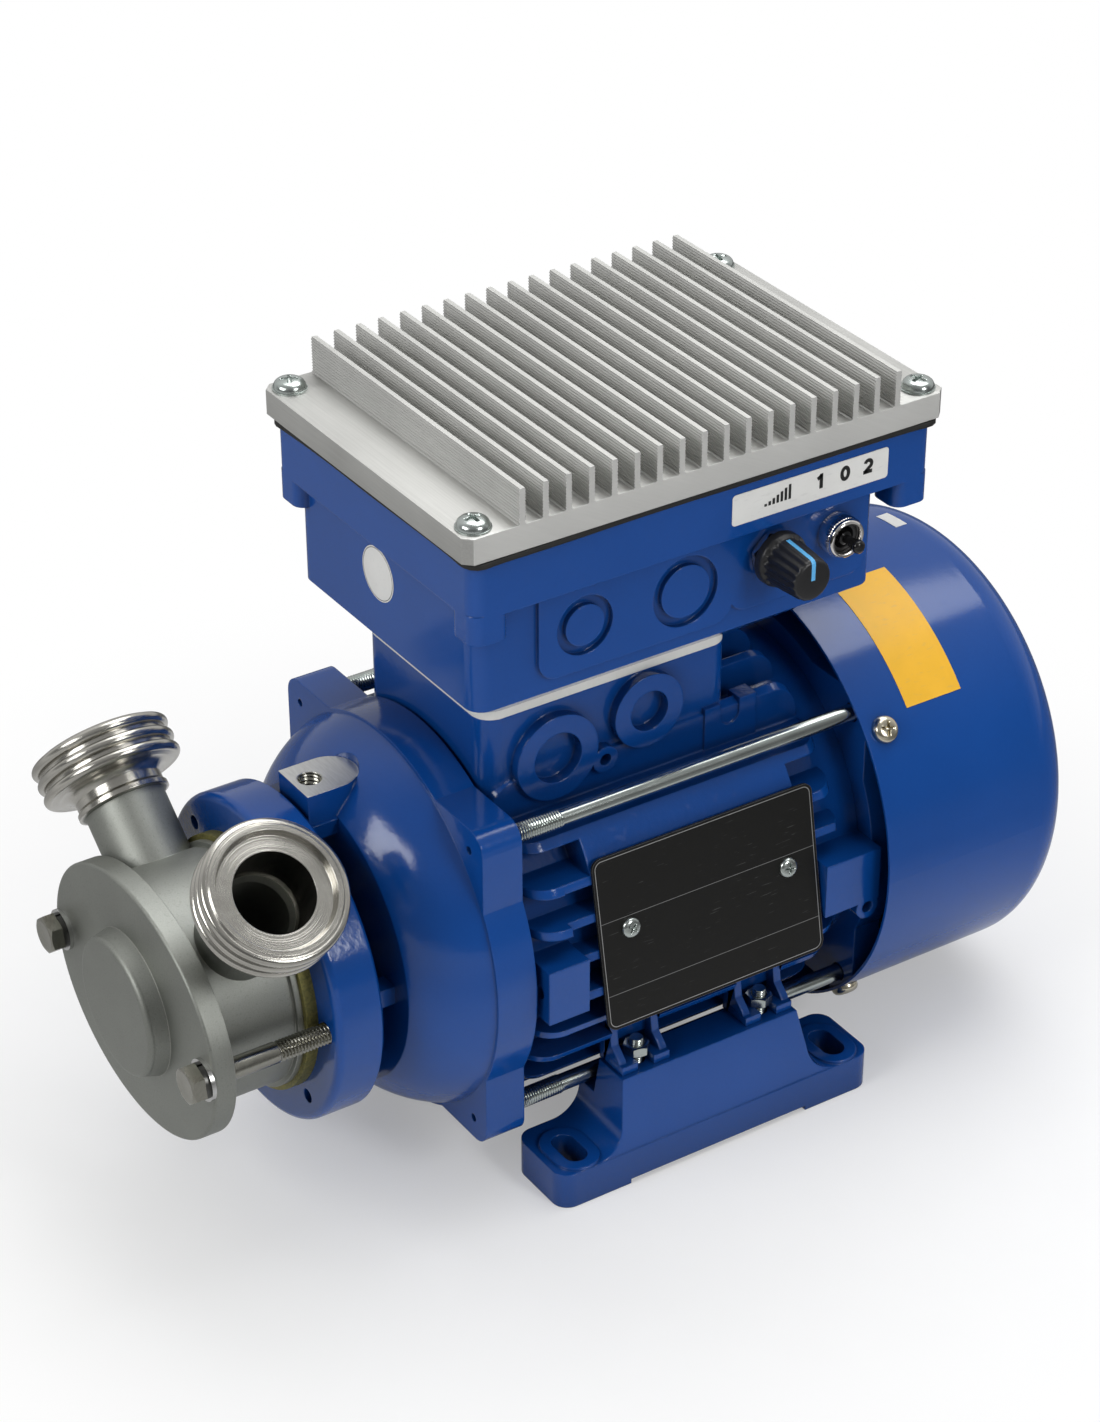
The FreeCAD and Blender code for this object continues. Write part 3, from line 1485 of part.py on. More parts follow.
def terminal_block():
    """Screw terminals under the board."""
    top = board_top_z() - board_thickness
    return block(2, 2 + terminal_depth, -45, -45 + terminal_length, top - terminal_height, top)


def along_x(points, y, z):
    """Solid of revolution about a line along X from (x, radius) points."""
    return spun(points, Vector(0, y, z), ALONG_X)


def potentiometer():
    """Speed control behind the panel, with its threaded bushing through it."""
    back = panel_inner_x - pot_depth
    end = panel_face_x + pot_nut_height + 0.8
    body = along_x([
        (back, 0),
        (back, pot_radius),
        (panel_inner_x, pot_radius),
        (panel_inner_x, bushing_radius),
        (end, bushing_radius),
        (end, 0),
    ], knob_y, knob_z)
    return body.cut(along_x([(back + 2, 0), (back + 2, spindle_radius + fit_clearance),
                             (end + 1, spindle_radius + fit_clearance), (end + 1, 0)], knob_y, knob_z))


def potentiometer_nut():
    """Hexagon nut on the bushing."""
    nut = hexagon(pot_nut_flats, pot_nut_height, Vector(panel_face_x, knob_y, knob_z), ALONG_X)
    start = Vector(panel_face_x - 1, knob_y, knob_z)
    return nut.cut(Part.makeCylinder(bushing_radius + thread_clearance, pot_nut_height + 2, start, ALONG_X))


def knob_start_x():
    """Plane of the knob's skirt, just clear of the bushing."""
    return panel_face_x + pot_nut_height + 0.8 + seat_gap


def potentiometer_spindle():
    """Spindle that turns with the knob."""
    start = panel_inner_x - pot_depth + 2.3
    end = knob_start_x() + knob_length - 4
    return Part.makeCylinder(spindle_radius, end - start, Vector(start, knob_y, knob_z), ALONG_X)


def speed_knob():
    """Ribbed knob with a skirt."""
    start = knob_start_x()
    end = start + knob_length
    body = along_x([
        (start, 0),
        (start, knob_base_radius),
        (start + knob_skirt, knob_base_radius),
        (start + knob_skirt + 0.5, knob_base_radius - 1),
        (end - 0.8, knob_face_radius),
        (end, knob_face_radius - 0.8),
        (end, 0),
    ], knob_y, knob_z)
    for i in range(14):
        angle = math.radians(360 / 14 * (i + 0.5))
        reach = knob_base_radius
        centre = Vector(start + knob_skirt + 0.5, knob_y + reach * math.cos(angle),
                        knob_z + reach * math.sin(angle))
        body = body.cut(Part.makeCylinder(1.0, knob_length, centre, ALONG_X))
    hole = Vector(start - 1, knob_y, knob_z)
    return body.cut(Part.makeCylinder(spindle_radius, knob_length - 4 + 1, hole, ALONG_X))


def switch_body():
    """Toggle switch behind the panel, with its bushing through it."""
    end = panel_face_x + switch_nut_height - 2
    box = block(panel_inner_x - 11, panel_inner_x, switch_y - 6.5, switch_y + 6.5,
                switch_z - 6, switch_z + 6)
    start = Vector(panel_inner_x - 1, switch_y, switch_z)
    neck = Part.makeCylinder(switch_bushing_radius, end - start.x, start, ALONG_X)
    body = joined([box, neck])
    start = Vector(panel_face_x - 4, switch_y, switch_z)
    return body.cut(Part.makeCylinder(switch_throat_radius, 12, start, ALONG_X))


def switch_nut():
    """Round nut on the switch bushing."""
    inner = switch_bushing_radius + thread_clearance
    end = panel_face_x + switch_nut_height
    return along_x([
        (panel_face_x, inner),
        (panel_face_x, switch_nut_radius),
        (end - 1, switch_nut_radius),
        (end, switch_nut_radius - 1),
        (end, inner),
    ], switch_y, switch_z)


def switch_lever():
    """Lever with a ball in the bushing and a rounded tip."""
    pivot = panel_face_x
    ball = switch_ball_radius
    neck = math.sqrt(ball ** 2 - lever_root_radius ** 2)
    tip = lever_reach - lever_tip_radius
    points = [
        (-ball, 0),
        (0, ball, "arc"),
        (neck, lever_root_radius),
        (tip, lever_tip_radius),
        (tip + lever_tip_radius * math.sqrt(0.5), lever_tip_radius * math.sqrt(0.5), "arc"),
        (lever_reach, 0),
    ]
    return spun(points, Vector(pivot, switch_y, switch_z), ALONG_X)


def nameplate():
    """Bare plate on the flat of the fins."""
    w, h = nameplate_width / 2, nameplate_height / 2
    plate = slab(nameplate_shift_y - w, nameplate_shift_y + w, nameplate_shift_up - h,
                 nameplate_shift_up + h, 0, nameplate_thickness, nameplate_corner)
    for x in (-nameplate_screw_pitch / 2, nameplate_screw_pitch / 2):
        hole = Vector(x + nameplate_shift_y, 0, -1)
        plate = plate.cut(Part.makeCylinder(nameplate_screw_radius + 0.2, 3, hole, ALONG_Z))
    return on_plate(plate, plate_distance)


def nameplate_screws():
    """Two small screws through the nameplate."""
    screws = []
    normal = plate_frame(0, 0, 1) - plate_frame(0, 0, 0)
    for x in (-nameplate_screw_pitch / 2, nameplate_screw_pitch / 2):
        centre = plate_frame(x + nameplate_shift_y, 0, plate_distance + nameplate_thickness)
        screws.append(pan_screw(centre, normal, nameplate_screw_radius, 5, nameplate_screw_head, 1.7))
    return group(screws)


flat_washer_y = cover_front_y - flat_washer_thickness
spring_washer_y = flat_washer_y - spring_washer_thickness

nodes = {
    "pump_cover": pump_cover(),
    "cover_bolts": cover_bolts(),
    "cover_flat_washers": washers(flat_washer_y, flat_washer_thickness, flat_washer_radius, 0),
    "cover_spring_washers": washers(spring_washer_y, spring_washer_thickness, spring_washer_radius,
                                    spring_washer_slit),
    "cover_seal": face_seal(),
    "pump_body": pump_body(),
    "spacer_ring": spacer_ring(),
    "cam_plate": cam_plate(),
    "impeller": impeller(),
    "impeller_insert": impeller_insert(),
    "impeller_key": impeller_key(),
    "seal_seat": seal_seat(),
    "seal_face": seal_face(),
    "seal_cup": seal_cup(),
    "seal_spring": seal_spring(),
    "lantern": lantern(),
    "slinger": slinger(),
    "shaft": shaft(),
    "bearing_outer_rings": races(True),
    "bearing_inner_rings": races(False),
    "bearing_balls": bearing_balls(),
    "bearing_cages": bearing_cages(),
    "preload_spring": preload_spring(),
    "tie_rods": tie_rods(),
    "motor_housing": motor_housing(),
    "stator_core": stator_core(),
    "stator_windings": stator_windings(),
    "rotor_core": rotor_core(),
    "rotor_end_rings": rotor_end_rings(),
    "rear_shield": rear_shield(),
    "fan": fan(),
    "fan_clip": fan_clip(),
    "fan_cowl": fan_cowl(),
    "cowl_screws": cowl_screws(),
    "foot_right": foot(1),
    "foot_left": foot(-1),
    "foot_studs": foot_studs(),
    "foot_nuts": foot_nuts(),
    "nameplate": nameplate(),
    "nameplate_screws": nameplate_screws(),
    "adapter_plate": adapter_plate(),
    "inverter_case": inverter_case(),
    "case_screws": case_screws(),
    "lid_gasket": lid_gasket(),
    "heat_sink_lid": heat_sink_lid(),
    "lid_screws": lid_screws(),
    "inverter_board": inverter_board(),
    "board_spacers": board_spacers(),
    "power_module": power_module(),
    "capacitors": capacitors(),
    "terminal_block": terminal_block(),
    "potentiometer": potentiometer(),
    "potentiometer_nut": potentiometer_nut(),
    "potentiometer_spindle": potentiometer_spindle(),
    "speed_knob": speed_knob(),
    "switch_body": switch_body(),
    "switch_nut": switch_nut(),
    "switch_lever": switch_lever(),
}

os.makedirs("parts", exist_ok=True)
for name, shape in nodes.items():
    shape.exportStep("parts/" + name + ".step")
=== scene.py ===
"""Looks of the flexible impeller pump: finishes for its solid parts, and finely shaped small parts."""
import math

import bmesh
import bpy
import numpy as np
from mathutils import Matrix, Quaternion, Vector


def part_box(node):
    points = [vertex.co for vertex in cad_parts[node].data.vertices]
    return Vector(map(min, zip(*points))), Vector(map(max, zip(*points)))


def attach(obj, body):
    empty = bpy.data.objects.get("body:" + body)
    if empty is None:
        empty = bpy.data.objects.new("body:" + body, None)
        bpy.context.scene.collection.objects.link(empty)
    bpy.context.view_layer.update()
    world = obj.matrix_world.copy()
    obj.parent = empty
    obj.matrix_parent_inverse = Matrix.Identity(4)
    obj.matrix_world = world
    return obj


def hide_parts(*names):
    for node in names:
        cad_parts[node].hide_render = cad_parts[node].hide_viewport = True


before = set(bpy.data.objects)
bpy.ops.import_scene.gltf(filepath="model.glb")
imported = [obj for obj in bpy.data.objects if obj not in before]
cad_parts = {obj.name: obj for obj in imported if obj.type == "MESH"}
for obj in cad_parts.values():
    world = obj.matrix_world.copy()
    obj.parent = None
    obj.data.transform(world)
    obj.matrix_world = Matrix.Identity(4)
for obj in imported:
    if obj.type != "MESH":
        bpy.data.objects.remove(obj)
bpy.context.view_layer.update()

bl_info = {
    "name": "Flexible impeller pump",
    "version": (1, 0, 0),
    "blender": (4, 5, 0),
    "location": "View3D > Sidebar > Pump",
    "description": "Finishes and finely shaped parts of an impeller pump with motor and speed controller",
    "category": "Object",
}

MM = 0.001
TURN = 2 * math.pi

# Places and sizes of the pump head and the lantern, in millimetres
SHAFT_Z = 71.0
PORT_Y = -127.8
PORT_ANGLES = (50.0, 140.0)
NECK_REACH = 52.6
BOLT_SPREAD = 40.9
BOLT_HEAD = 3.8
BOLT_PLAIN = 23.4
PAD_Z = 122.3
PAD_EDGE_Y = -77.5
PAD_ROUND_Y = -86.0
PAD_RADIUS = 8.15
EYE = (0.0, -91.8)
EYE_RADIUS = 3.7
EYE_DEPTH = 17.3
GAP_Y = (-98.2, -88.5)
WEB_RADII = (43.0, 37.5)
WEB_ANGLES = ((78.0, 102.0), (242.0, 298.0))
SIDE_RIB = (30.3, 36.3, 5.6)

# Motor, feet and cowl
LEG_FACE_X = (59.0, 50.0)
LEG_WIDTH = 8.0
LEG_Z = (32.8, 35.6, 38.4, 46.4)
LEG_SLOT = 2.7
STUD_TOP_Z = 40.4
STUD_Y = 21.2
STUDS = [(x, y) for x in (-54.0, 54.0) for y in (-STUD_Y, STUD_Y)]
SHIELD_REAR_Y = -57.0
ROD_RADIUS = 2.5
ROD_HEAD_RADIUS = 3.5
PLATE_TILT = 10.5
PLATE_DISTANCE = 58.2
PLATE_MIDDLE = (0.6, -3.0)
PLATE_SIZE = (73.4, 52.0)
PLATE_SCREW_Y = 26.5
PLATE_RULES = (6.6, -15.5)
COWL_RADIUS = 67.8
COWL_SCREW_Y = 62.0
COWL_SCREW_ANGLES = (38.0, 128.0, 218.0, 308.0)

# Controller, its controls and its label
CASE_X = -0.8
CASE_FRONT_Y = -66.5
RIM_X = 49.2
PANEL_X = 45.4
KNOB = (26.0, 176.8)
SWITCH = (PANEL_X, 47.4, 176.6)
BOOT_BALL = 5.1
BOOT_ANGLE = 22.0
SINK_PLATE = 7.6
SINK_CORNER = 2.4
SINK_FINS = 18
SINK_PITCH = 6.93
LID_SCREW_INSET = 4.8
LID_SCREW_TOP = 3.3
LABEL_MIDDLE = (35.75, 195.25)
LABEL_WIDTH = 51.1
FIGURE_HEIGHT = 4.5
FIGURE_HALF = 0.56
DISC_RADIUS = 7.9
DISC_PLACE = (-3.4, CASE_FRONT_Y, 175.8)

# Films on the cowl: range along the shaft in millimetres, then round it in degrees; their two radii
SIDE_FILM = (71.5, 90.7, 41.0, 78.0)
TOP_FILM = (106.2, 110.2, 90.5, 98.5)
FILM_RADII = (COWL_RADIUS + 0.12, COWL_RADIUS + 0.005)

# Cross-head screws: shank's radius and length, head's radius and height, width of the flange
LID_SCREW = (2.5, 17.0, 4.55, 3.0, 0.25)
COWL_SCREW = (2.0, 9.0, 4.0, 2.5, 0.0)
PLATE_SCREW = (1.5, 5.0, 3.0, 1.6, 0.0)

# Nuts: width over flats, height, radius of the bore
FOOT_NUT = (7.0, 3.0, 2.05)
KNOB_NUT = (12.0, 2.2, 4.65)

# Threads: radius, depth, pitch, columns
STUD_THREAD = (2.0, 0.33, 0.7, 40)
ROD_THREAD = (ROD_RADIUS + 0.30, 0.30, 0.8, 40)
ROD_THREAD_Y = (SHIELD_REAR_Y + 0.1, SHIELD_REAR_Y + 16.0)
EYE_THREAD = (3.38, 0.42, 1.25, 72)
EYE_THREAD_Z = (PAD_Z - 11.5, PAD_Z - 0.3)
EYE_THREAD_BACK = 3.395

# Width of the painted shade in hollows, and the slope of the cones that cut nuts and bolt heads
PAINTED_SHADE_REACH = 24.0
CONE = math.tan(math.radians(30))

# Long side of the photograph and the camera's shift in its pixels; size and depth of the floor in metres
PHOTO_ROWS = 1422
CAMERA_SHIFT = (8.8, 155.8)
FLOOR_REACH = 3.0
FLOOR_DROP = 0.0002


def in_mm(node):
    """Lowest and highest corner of a solid part in millimetres."""
    return [np.array(corner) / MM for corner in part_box(node)]


def colour(name, description, default):
    """Property of a colour."""
    return bpy.props.FloatVectorProperty(name=name, description=description, subtype="COLOR", size=3,
                                         min=0, max=1, default=default)


def number(name, description, default, **kind):
    """Property of a number, with its unit or subtype."""
    return bpy.props.FloatProperty(name=name, description=description, default=default, **kind)


class Colours(bpy.types.PropertyGroup):
    """Colours that a user would change."""

    paint: colour("Enamel", "Gloss enamel of castings, cowl and case", (0.0036, 0.058, 0.275))
    steel: colour("Blasted steel", "Cast steel of the pump head", (0.30, 0.31, 0.285))
    bright: colour("Turned steel", "Turned and polished steel of the ports", (0.56, 0.545, 0.50))
    zinc: colour("Zinc", "Plated screws, nuts and rods", (0.50, 0.545, 0.525))
    aluminium: colour("Aluminium", "Drawn aluminium of the heat sink", (0.56, 0.56, 0.54))
    ring: colour("Spacer ring", "Yellowed plating of the spacer ring", (0.23, 0.21, 0.07))
    pointer: colour("Knob pointer", "Inlaid line of the speed knob", (0.10, 0.42, 0.78))
    patch: colour("Cowl patch", "Bare film patch on the side of the cowl", (0.86, 0.47, 0.03))
    card: colour("Label white", "White film of the control label and the discs", (0.72, 0.72, 0.70))


class Sizes(bpy.types.PropertyGroup):
    """Sizes that a user would change."""

    sink_ridge: number("Heat sink ridge", "Depth of the fine ridges along each cooling fin", 0.30 * MM,
                       unit="LENGTH")
    thread_pitch: number("Bolt pitch", "Pitch of the cover bolts", 1.0 * MM, unit="LENGTH")
    gasket_lip: number("Gasket lip", "How far the lid gasket stands out of the case rim", 1.3 * MM,
                       unit="LENGTH")
    knob_rib: number("Knob flute", "Depth of the flutes of the speed knob", 0.55 * MM, unit="LENGTH")
    label_height: number("Label height", "Height of the control label", 9.1 * MM, unit="LENGTH")


class Studio(bpy.types.PropertyGroup):
    """Light and camera."""

    azimuth: number("Azimuth", "Camera's turn round the pump", math.radians(57.1), subtype="ANGLE")
    elevation: number("Elevation", "Camera's height angle", math.radians(34.15), subtype="ANGLE")
    roll: number("Roll", "Camera's turn about its axis", math.radians(-0.249), subtype="ANGLE")
    distance: number("Distance", "Camera to target", 1.0122, unit="LENGTH")
    target: bpy.props.FloatVectorProperty(
        name="Target", description="Point on the camera's axis", subtype="XYZ", size=3,
        default=(0.01258, -0.02589, 0.07612))
    lens: number("Lens", "Focal length for a 36 mm long side", 90.885)
    top_light: number("Ceiling light", "Power of the wide light overhead", 9.0)
    front_light: number("Front light", "Power of the light before the pump head", 8.0)
    side_light: number("Side light", "Power of the light on the control side", 5.0)
    room: number("Room light", "Strength of the even light of the room", 0.32)


# Surfaces

class Skin:
    """Closed surface: points in millimetres, faces as lists of point numbers, and one finish number.

    The faces are turned round where the volume, summed over fans of corners, is negative.
    """

    def __init__(self, points, faces, look=0):
        volume = 0.0
        for count in {len(face) for face in faces}:
            corners = points[np.array([face for face in faces if len(face) == count])]
            volume += np.einsum("ik,ijk->", corners[:, 0], np.cross(corners[:, 1:-1], corners[:, 2:]))
        self.points = points
        self.faces = [face[::-1] for face in faces] if volume < 0 else faces
        self.look = look


def quads(rows, columns, ring=False):
    """Faces between neighbours of a grid whose columns run round, and in a ring its rows too."""
    index = np.arange(rows * columns).reshape(rows, columns)
    index = np.concatenate([index, index[:, :1]], 1)
    if ring:
        index = np.concatenate([index, index[:1]])
    return np.stack([index[:-1, :-1], index[1:, :-1], index[1:, 1:], index[:-1, 1:]], -1).reshape(-1, 4)


def closed(grid, look=0):
    """Closed skin of a grid (rows, columns, 3) whose columns run round.

    Neighbouring points make quads, and the first and the last row are each closed by a fan
    of triangles to the mean of the row.
    """
    rows, columns = grid.shape[:2]
    points = np.concatenate([grid.reshape(-1, 3), grid[:1].mean(1), grid[-1:].mean(1)])
    here = np.arange(columns)
    after = np.roll(here, -1)
    last = (rows - 1) * columns
    start = np.stack([np.full(columns, rows * columns), here, after], -1)
    end = np.stack([np.full(columns, rows * columns + 1), last + after, last + here], -1)
    return Skin(points, np.concatenate([start, end]).tolist() + quads(rows, columns).tolist(), look)


def capped(grid, look=0):
    """Closed skin of a grid whose columns run round; the first and the last row are single faces."""
    rows, columns = grid.shape[:2]
    faces = quads(rows, columns).tolist()
    faces.append(list(range(columns)))
    faces.append(list(range((rows - 1) * columns, rows * columns))[::-1])
    return Skin(grid.reshape(-1, 3), faces, look)


def hoop(grid, look=0):
    """Closed skin of a grid that runs round both ways, like a ring."""
    return Skin(grid.reshape(-1, 3), quads(*grid.shape[:2], True).tolist(), look)


def tiers(outline, rows, reach):
    """Grid of a flat outline (n, 2) at several levels: each row (pull, level) draws the outline in
    towards its middle by the share that the pull is of the reach."""
    middle = outline.mean(0)
    return np.stack([np.concatenate([middle + (outline - middle) * (1 - pull / reach),
                                     np.full((len(outline), 1), level)], 1) for pull, level in rows])


def prism(outline, low, high, order=(0, 1, 2), origin=(0.0, 0.0, 0.0), edge=0.0, look=0):
    """Closed skin of a flat outline carried from low to high.

    Of the outline's two numbers and the level, the order says which is x, y and z, and the
    origin is added. An edge greater than 0 bevels the upper end.
    """
    rows = [(0.0, low), (0.0, high - edge), (edge, high)] if edge else [(0.0, low), (0.0, high)]
    grid = tiers(outline, rows, np.abs(outline - outline.mean(0)).max())
    return capped(grid[..., order] + np.array(origin), look)


def placed(local, origin, direction):
    """Points (..., 3) turned so that their third axis takes the direction and their second leans
    towards the top, and moved to the origin."""
    third = np.array(direction, float)
    third /= np.linalg.norm(third)
    top = np.array([0.0, 1.0, 0.0] if abs(third[2]) > 0.95 else [0.0, 0.0, 1.0])
    first = np.cross(top, third)
    first /= np.linalg.norm(first)
    return local @ np.stack([first, np.cross(third, first), third]) + np.array(origin, float)


def turns(columns):
    """Evenly spaced angles once round."""
    return np.arange(columns) * TURN / columns


def polar(radius, angle, level):
    """Points at a radius and an angle about the third axis and a level along it."""
    return np.stack(np.broadcast_arrays(radius * np.cos(angle), radius * np.sin(angle), level), -1)


def revolved(profile, columns):
    """Grid of a profile [(height, radius), ...] turned about the third axis."""
    height, radius = np.array(profile, float).T[:, :, None]
    return polar(radius, turns(columns), height)


def grooved(profile, depth, wave):
    """Grid of a profile [(height, radius, share), ...] turned about the third axis, whose radius falls
    by depth times share times a wave of the angle."""
    height, radius, share = np.array(profile, float).T[:, :, None]
    return polar(radius - depth * share * wave, turns(len(wave)), height)


def ringed(rows, columns):
    """Grid about the third axis out of rows (radius, height), each a number or one value per column."""
    spread = np.array([[np.broadcast_to(value, columns) for value in row] for row in rows])
    return polar(spread[:, 0], turns(columns), spread[:, 1])


def radial(angle):
    """Unit vector at an angle in degrees round the shaft."""
    return np.array([math.cos(math.radians(angle)), 0.0, math.sin(math.radians(angle))])


def rounded(width, height, corner, steps=6):
    """Outline of a rectangle about the origin whose corners are quarter circles."""
    quarter = np.linspace(0, math.pi / 2, steps)
    parts = []
    for k, (sx, sy) in enumerate(((1, 1), (-1, 1), (-1, -1), (1, -1))):
        centre = np.array([sx * (width / 2 - corner), sy * (height / 2 - corner)])
        turn = quarter + k * math.pi / 2
        parts.append(centre + corner * np.stack([np.cos(turn), np.sin(turn)], 1))
    return np.concatenate(parts)


def normals(path, join):
    """Unit normals to the right of a flat path; join says that its end leads to its start."""
    tangent = np.roll(path, -1, 0) - np.roll(path, 1, 0) if join else np.gradient(path, axis=0)
    side = np.stack([tangent[:, 1], -tangent[:, 0]], 1)
    return side / np.linalg.norm(side, axis=1)[:, None]


def saw(t):
    """Triangle wave between 0 and 1 with period 1."""
    return 1 - np.abs(2 * (t - np.floor(t)) - 1)


def stand(name, mesh, body, node):
    """Object of a mesh on a body; where it stands for a solid part, that part is hidden."""
    thing = bpy.data.objects.new(name, mesh)
    bpy.context.scene.collection.objects.link(thing)
    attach(thing, body)
    if node:
        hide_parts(node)


def piece(name, looks, skins, node=None, body="frame", sharp=38.0):
    """One object in metres out of skins, with finishes that the solid part it stands for gets too."""
    if node:
        dress(looks, node)
    points = np.concatenate([skin.points for skin in skins]) * MM
    starts = np.cumsum([0] + [len(skin.points) for skin in skins[:-1]]).tolist()
    faces = [[i + start for i in face] for skin, start in zip(skins, starts) for face in skin.faces]
    mesh = bpy.data.meshes.new(name)
    mesh.from_pydata(points.tolist(), [], faces)
    numbers = np.concatenate([np.full(len(skin.faces), skin.look) for skin in skins])
    mesh.polygons.foreach_set("material_index", numbers.astype(np.int32))
    mesh.polygons.foreach_set("use_smooth", np.ones(len(faces), bool))
    mesh.set_sharp_from_angle(angle=math.radians(sharp))
    mesh.update()
    if mesh.validate():
        raise RuntimeError(name + " has faulty faces")
    for look in looks.split():
        mesh.materials.append(finish(look))
    stand(name, mesh, body, node)


# Finishes

def arithmetic(operation, reflected=False):
    """Method that adds a Math node; the reflected form takes the other value first."""
    def method(self, *others):
        inputs = (*others, self) if reflected else (self, *others)
        return self.look.node("ShaderNodeMath", {"operation": operation}, dict(enumerate(inputs)))
    return method


class Number:
    """A number in a node tree; Python's operators add Math nodes."""

    def __init__(self, look, socket):
        self.look = look
        self.socket = socket

    __add__ = __radd__ = arithmetic("ADD")
    __sub__ = arithmetic("SUBTRACT")
    __rsub__ = arithmetic("SUBTRACT", True)
    __mul__ = __rmul__ = arithmetic("MULTIPLY")
    __truediv__ = arithmetic("DIVIDE")
    __rtruediv__ = arithmetic("DIVIDE", True)
    __pow__ = arithmetic("POWER")
    __abs__ = arithmetic("ABSOLUTE")
    most = arithmetic("MAXIMUM")

    def step(self, edge, width):
        """0 below edge - width and 1 above edge + width, smooth between."""
        return self.look.node("ShaderNodeMapRange", {"interpolation_type": "SMOOTHSTEP"},
                              {"Value": self, "From Min": edge - width, "From Max": edge + width})

    def band(self, middle, half, soft):
        """1 within half of the middle, fading to 0 over soft."""
        return 1.0 - abs(self - middle).step(half, soft)


class Sheet:
    """A node tree written as expressions."""

    def __init__(self, tree):
        self.tree = tree

    def node(self, kind, settings=None, inputs=None, output=0):
        """Adds a node: settings first, then the values or links of its sockets; gives one output."""
        made = self.tree.nodes.new(kind)
        for key, value in (settings or {}).items():
            setattr(made, key, value)
        for key, value in (inputs or {}).items():
            if isinstance(value, Number):
                self.tree.links.new(value.socket, made.inputs[key])
            else:
                made.inputs[key].default_value = value
        return Number(self, made.outputs[output])

    def mix(self, share, first, second):
        """Colour between two colours."""
        first, second = [(*c, 1) if isinstance(c, tuple) else c for c in (first, second)]
        return self.node("ShaderNodeMix", {"data_type": "RGBA"}, {0: share, 6: first, 7: second}, 2)

    def along(self, vector, direction):
        """Length of a vector along a direction."""
        return self.node("ShaderNodeVectorMath", {"operation": "DOT_PRODUCT"},
                         {0: vector, 1: tuple(direction)}, 1)

    def cloudy(self, vector, stretch, size, **more):
        """Cloudy number about 0.5 on a vector multiplied part by part; clouds are size millimetres wide."""
        place = self.node("ShaderNodeVectorMath", {"operation": "MULTIPLY"}, {0: vector, 1: stretch})
        return self.node("ShaderNodeTexNoise", None, {"Vector": place, "Scale": 1 / (size * MM), **more})

    def rays(self):
        """1 for a ray from the camera, off a gloss and through a clear thing, else 0."""
        return [self.node("ShaderNodeLightPath", output=name)
                for name in ("Is Camera Ray", "Is Glossy Ray", "Is Transmission Ray")]


class Finish(Sheet):
    """A Principled material on object coordinates, in metres."""

    def __init__(self, name, **constants):
        self.material = bpy.data.materials.new(name)
        self.material.use_nodes = True
        super().__init__(self.material.node_tree)
        self.shader = self.tree.nodes["Principled BSDF"]
        self.place = self.node("ShaderNodeTexCoord", output="Object")
        for key, value in constants.items():
            self.shader.inputs[key.replace("_", " ")].default_value = value

    def axis(self, number):
        """x, y or z of the place."""
        return self.along(self.place, np.eye(3)[number])

    def noise(self, size, detail, stretch=(1, 1, 1), rough=0.5):
        """Cloudy number on the place."""
        return self.cloudy(self.place, stretch, size, Detail=detail, Roughness=rough)

    def speckle(self, size, cover):
        """1 in scattered grains of about size millimetres, for a share of the surface."""
        return self.noise(size, 1.0).step(0.5 + 0.26 * (1 - cover), 0.02)

    def bevel(self, radius):
        """Normal that is soft over edges, within a radius in millimetres."""
        return self.node("ShaderNodeBevel", {"samples": 4}, {"Radius": radius * MM})

    def edges(self, radius):
        """0 on flats, rising towards sharp edges within a radius in millimetres."""
        normal = self.node("ShaderNodeNewGeometry", output="Normal")
        same = self.node("ShaderNodeVectorMath", {"operation": "DOT_PRODUCT"},
                         {0: self.bevel(radius), 1: normal}, 1)
        return (1.0 - same).step(0.12, 0.10)

    def done(self, tint, rough, height, depth, edge=0.0, metallic=None):
        """The material, with its colour, its roughness, a relief whose full step is depth millimetres
        over edges softened by a radius, and its share of metal where one is given."""
        inputs = {"Height": height, "Distance": depth * MM, "Strength": 1.0}
        if edge:
            inputs["Normal"] = self.bevel(edge)
        values = {"Base Color": tint, "Roughness": rough, "Metallic": metallic,
                  "Normal": self.node("ShaderNodeBump", None, inputs)}
        for socket, value in values.items():
            if value:
                self.tree.links.new(value.socket, self.shader.inputs[socket])
        return self.material


def shade(tone, factor, lift=0.0):
    """Colour made lighter or darker; it is three numbers or the name of one of the settings."""
    if isinstance(tone, str):
        tone = getattr(bpy.context.scene.pump_colours, tone)
    return tuple(min(1.0, c * factor + lift) for c in tone)


def painted(look, cloud, radius):
    """Colour of the enamel: faint clouds, a fine grain, paler paint on the edges, which is partly thinner
    paint and partly a painted highlight, and painted shade that darkens it in hollows."""
    tint = look.mix(cloud * 0.7 + look.noise(0.8, 2) * 0.3, shade("paint", 0.84), shade("paint", 1.16))
    # Paler edges: partly thinner paint, partly a painted highlight along the rounded edges.
    tint = look.mix(look.edges(radius) * 0.30, tint, shade("paint", 1.8))
    # Painted shade: ambient occlusion darkens the colour in hollows, between fins and under the lid.
    unshaded = look.node("ShaderNodeAmbientOcclusion", {"samples": 4}, {"Distance": PAINTED_SHADE_REACH * MM}, 1)
    return look.mix(unshaded, shade("paint", 0.38), tint)


def enamel(name, peel, dust, radius):
    """Blue gloss enamel: peel is the height of its orange skin, dust the share of duller spots."""
    look = Finish(name, Specular_IOR_Level=0.5)
    cloud = look.noise(38, 3)
    rough = 0.10 + 0.08 * cloud + 0.07 * look.speckle(3.0, dust)
    return look.done(painted(look, cloud, radius), rough,
                     look.noise(2.4, 2) + 0.5 * look.noise(0.9, 1), peel, radius)


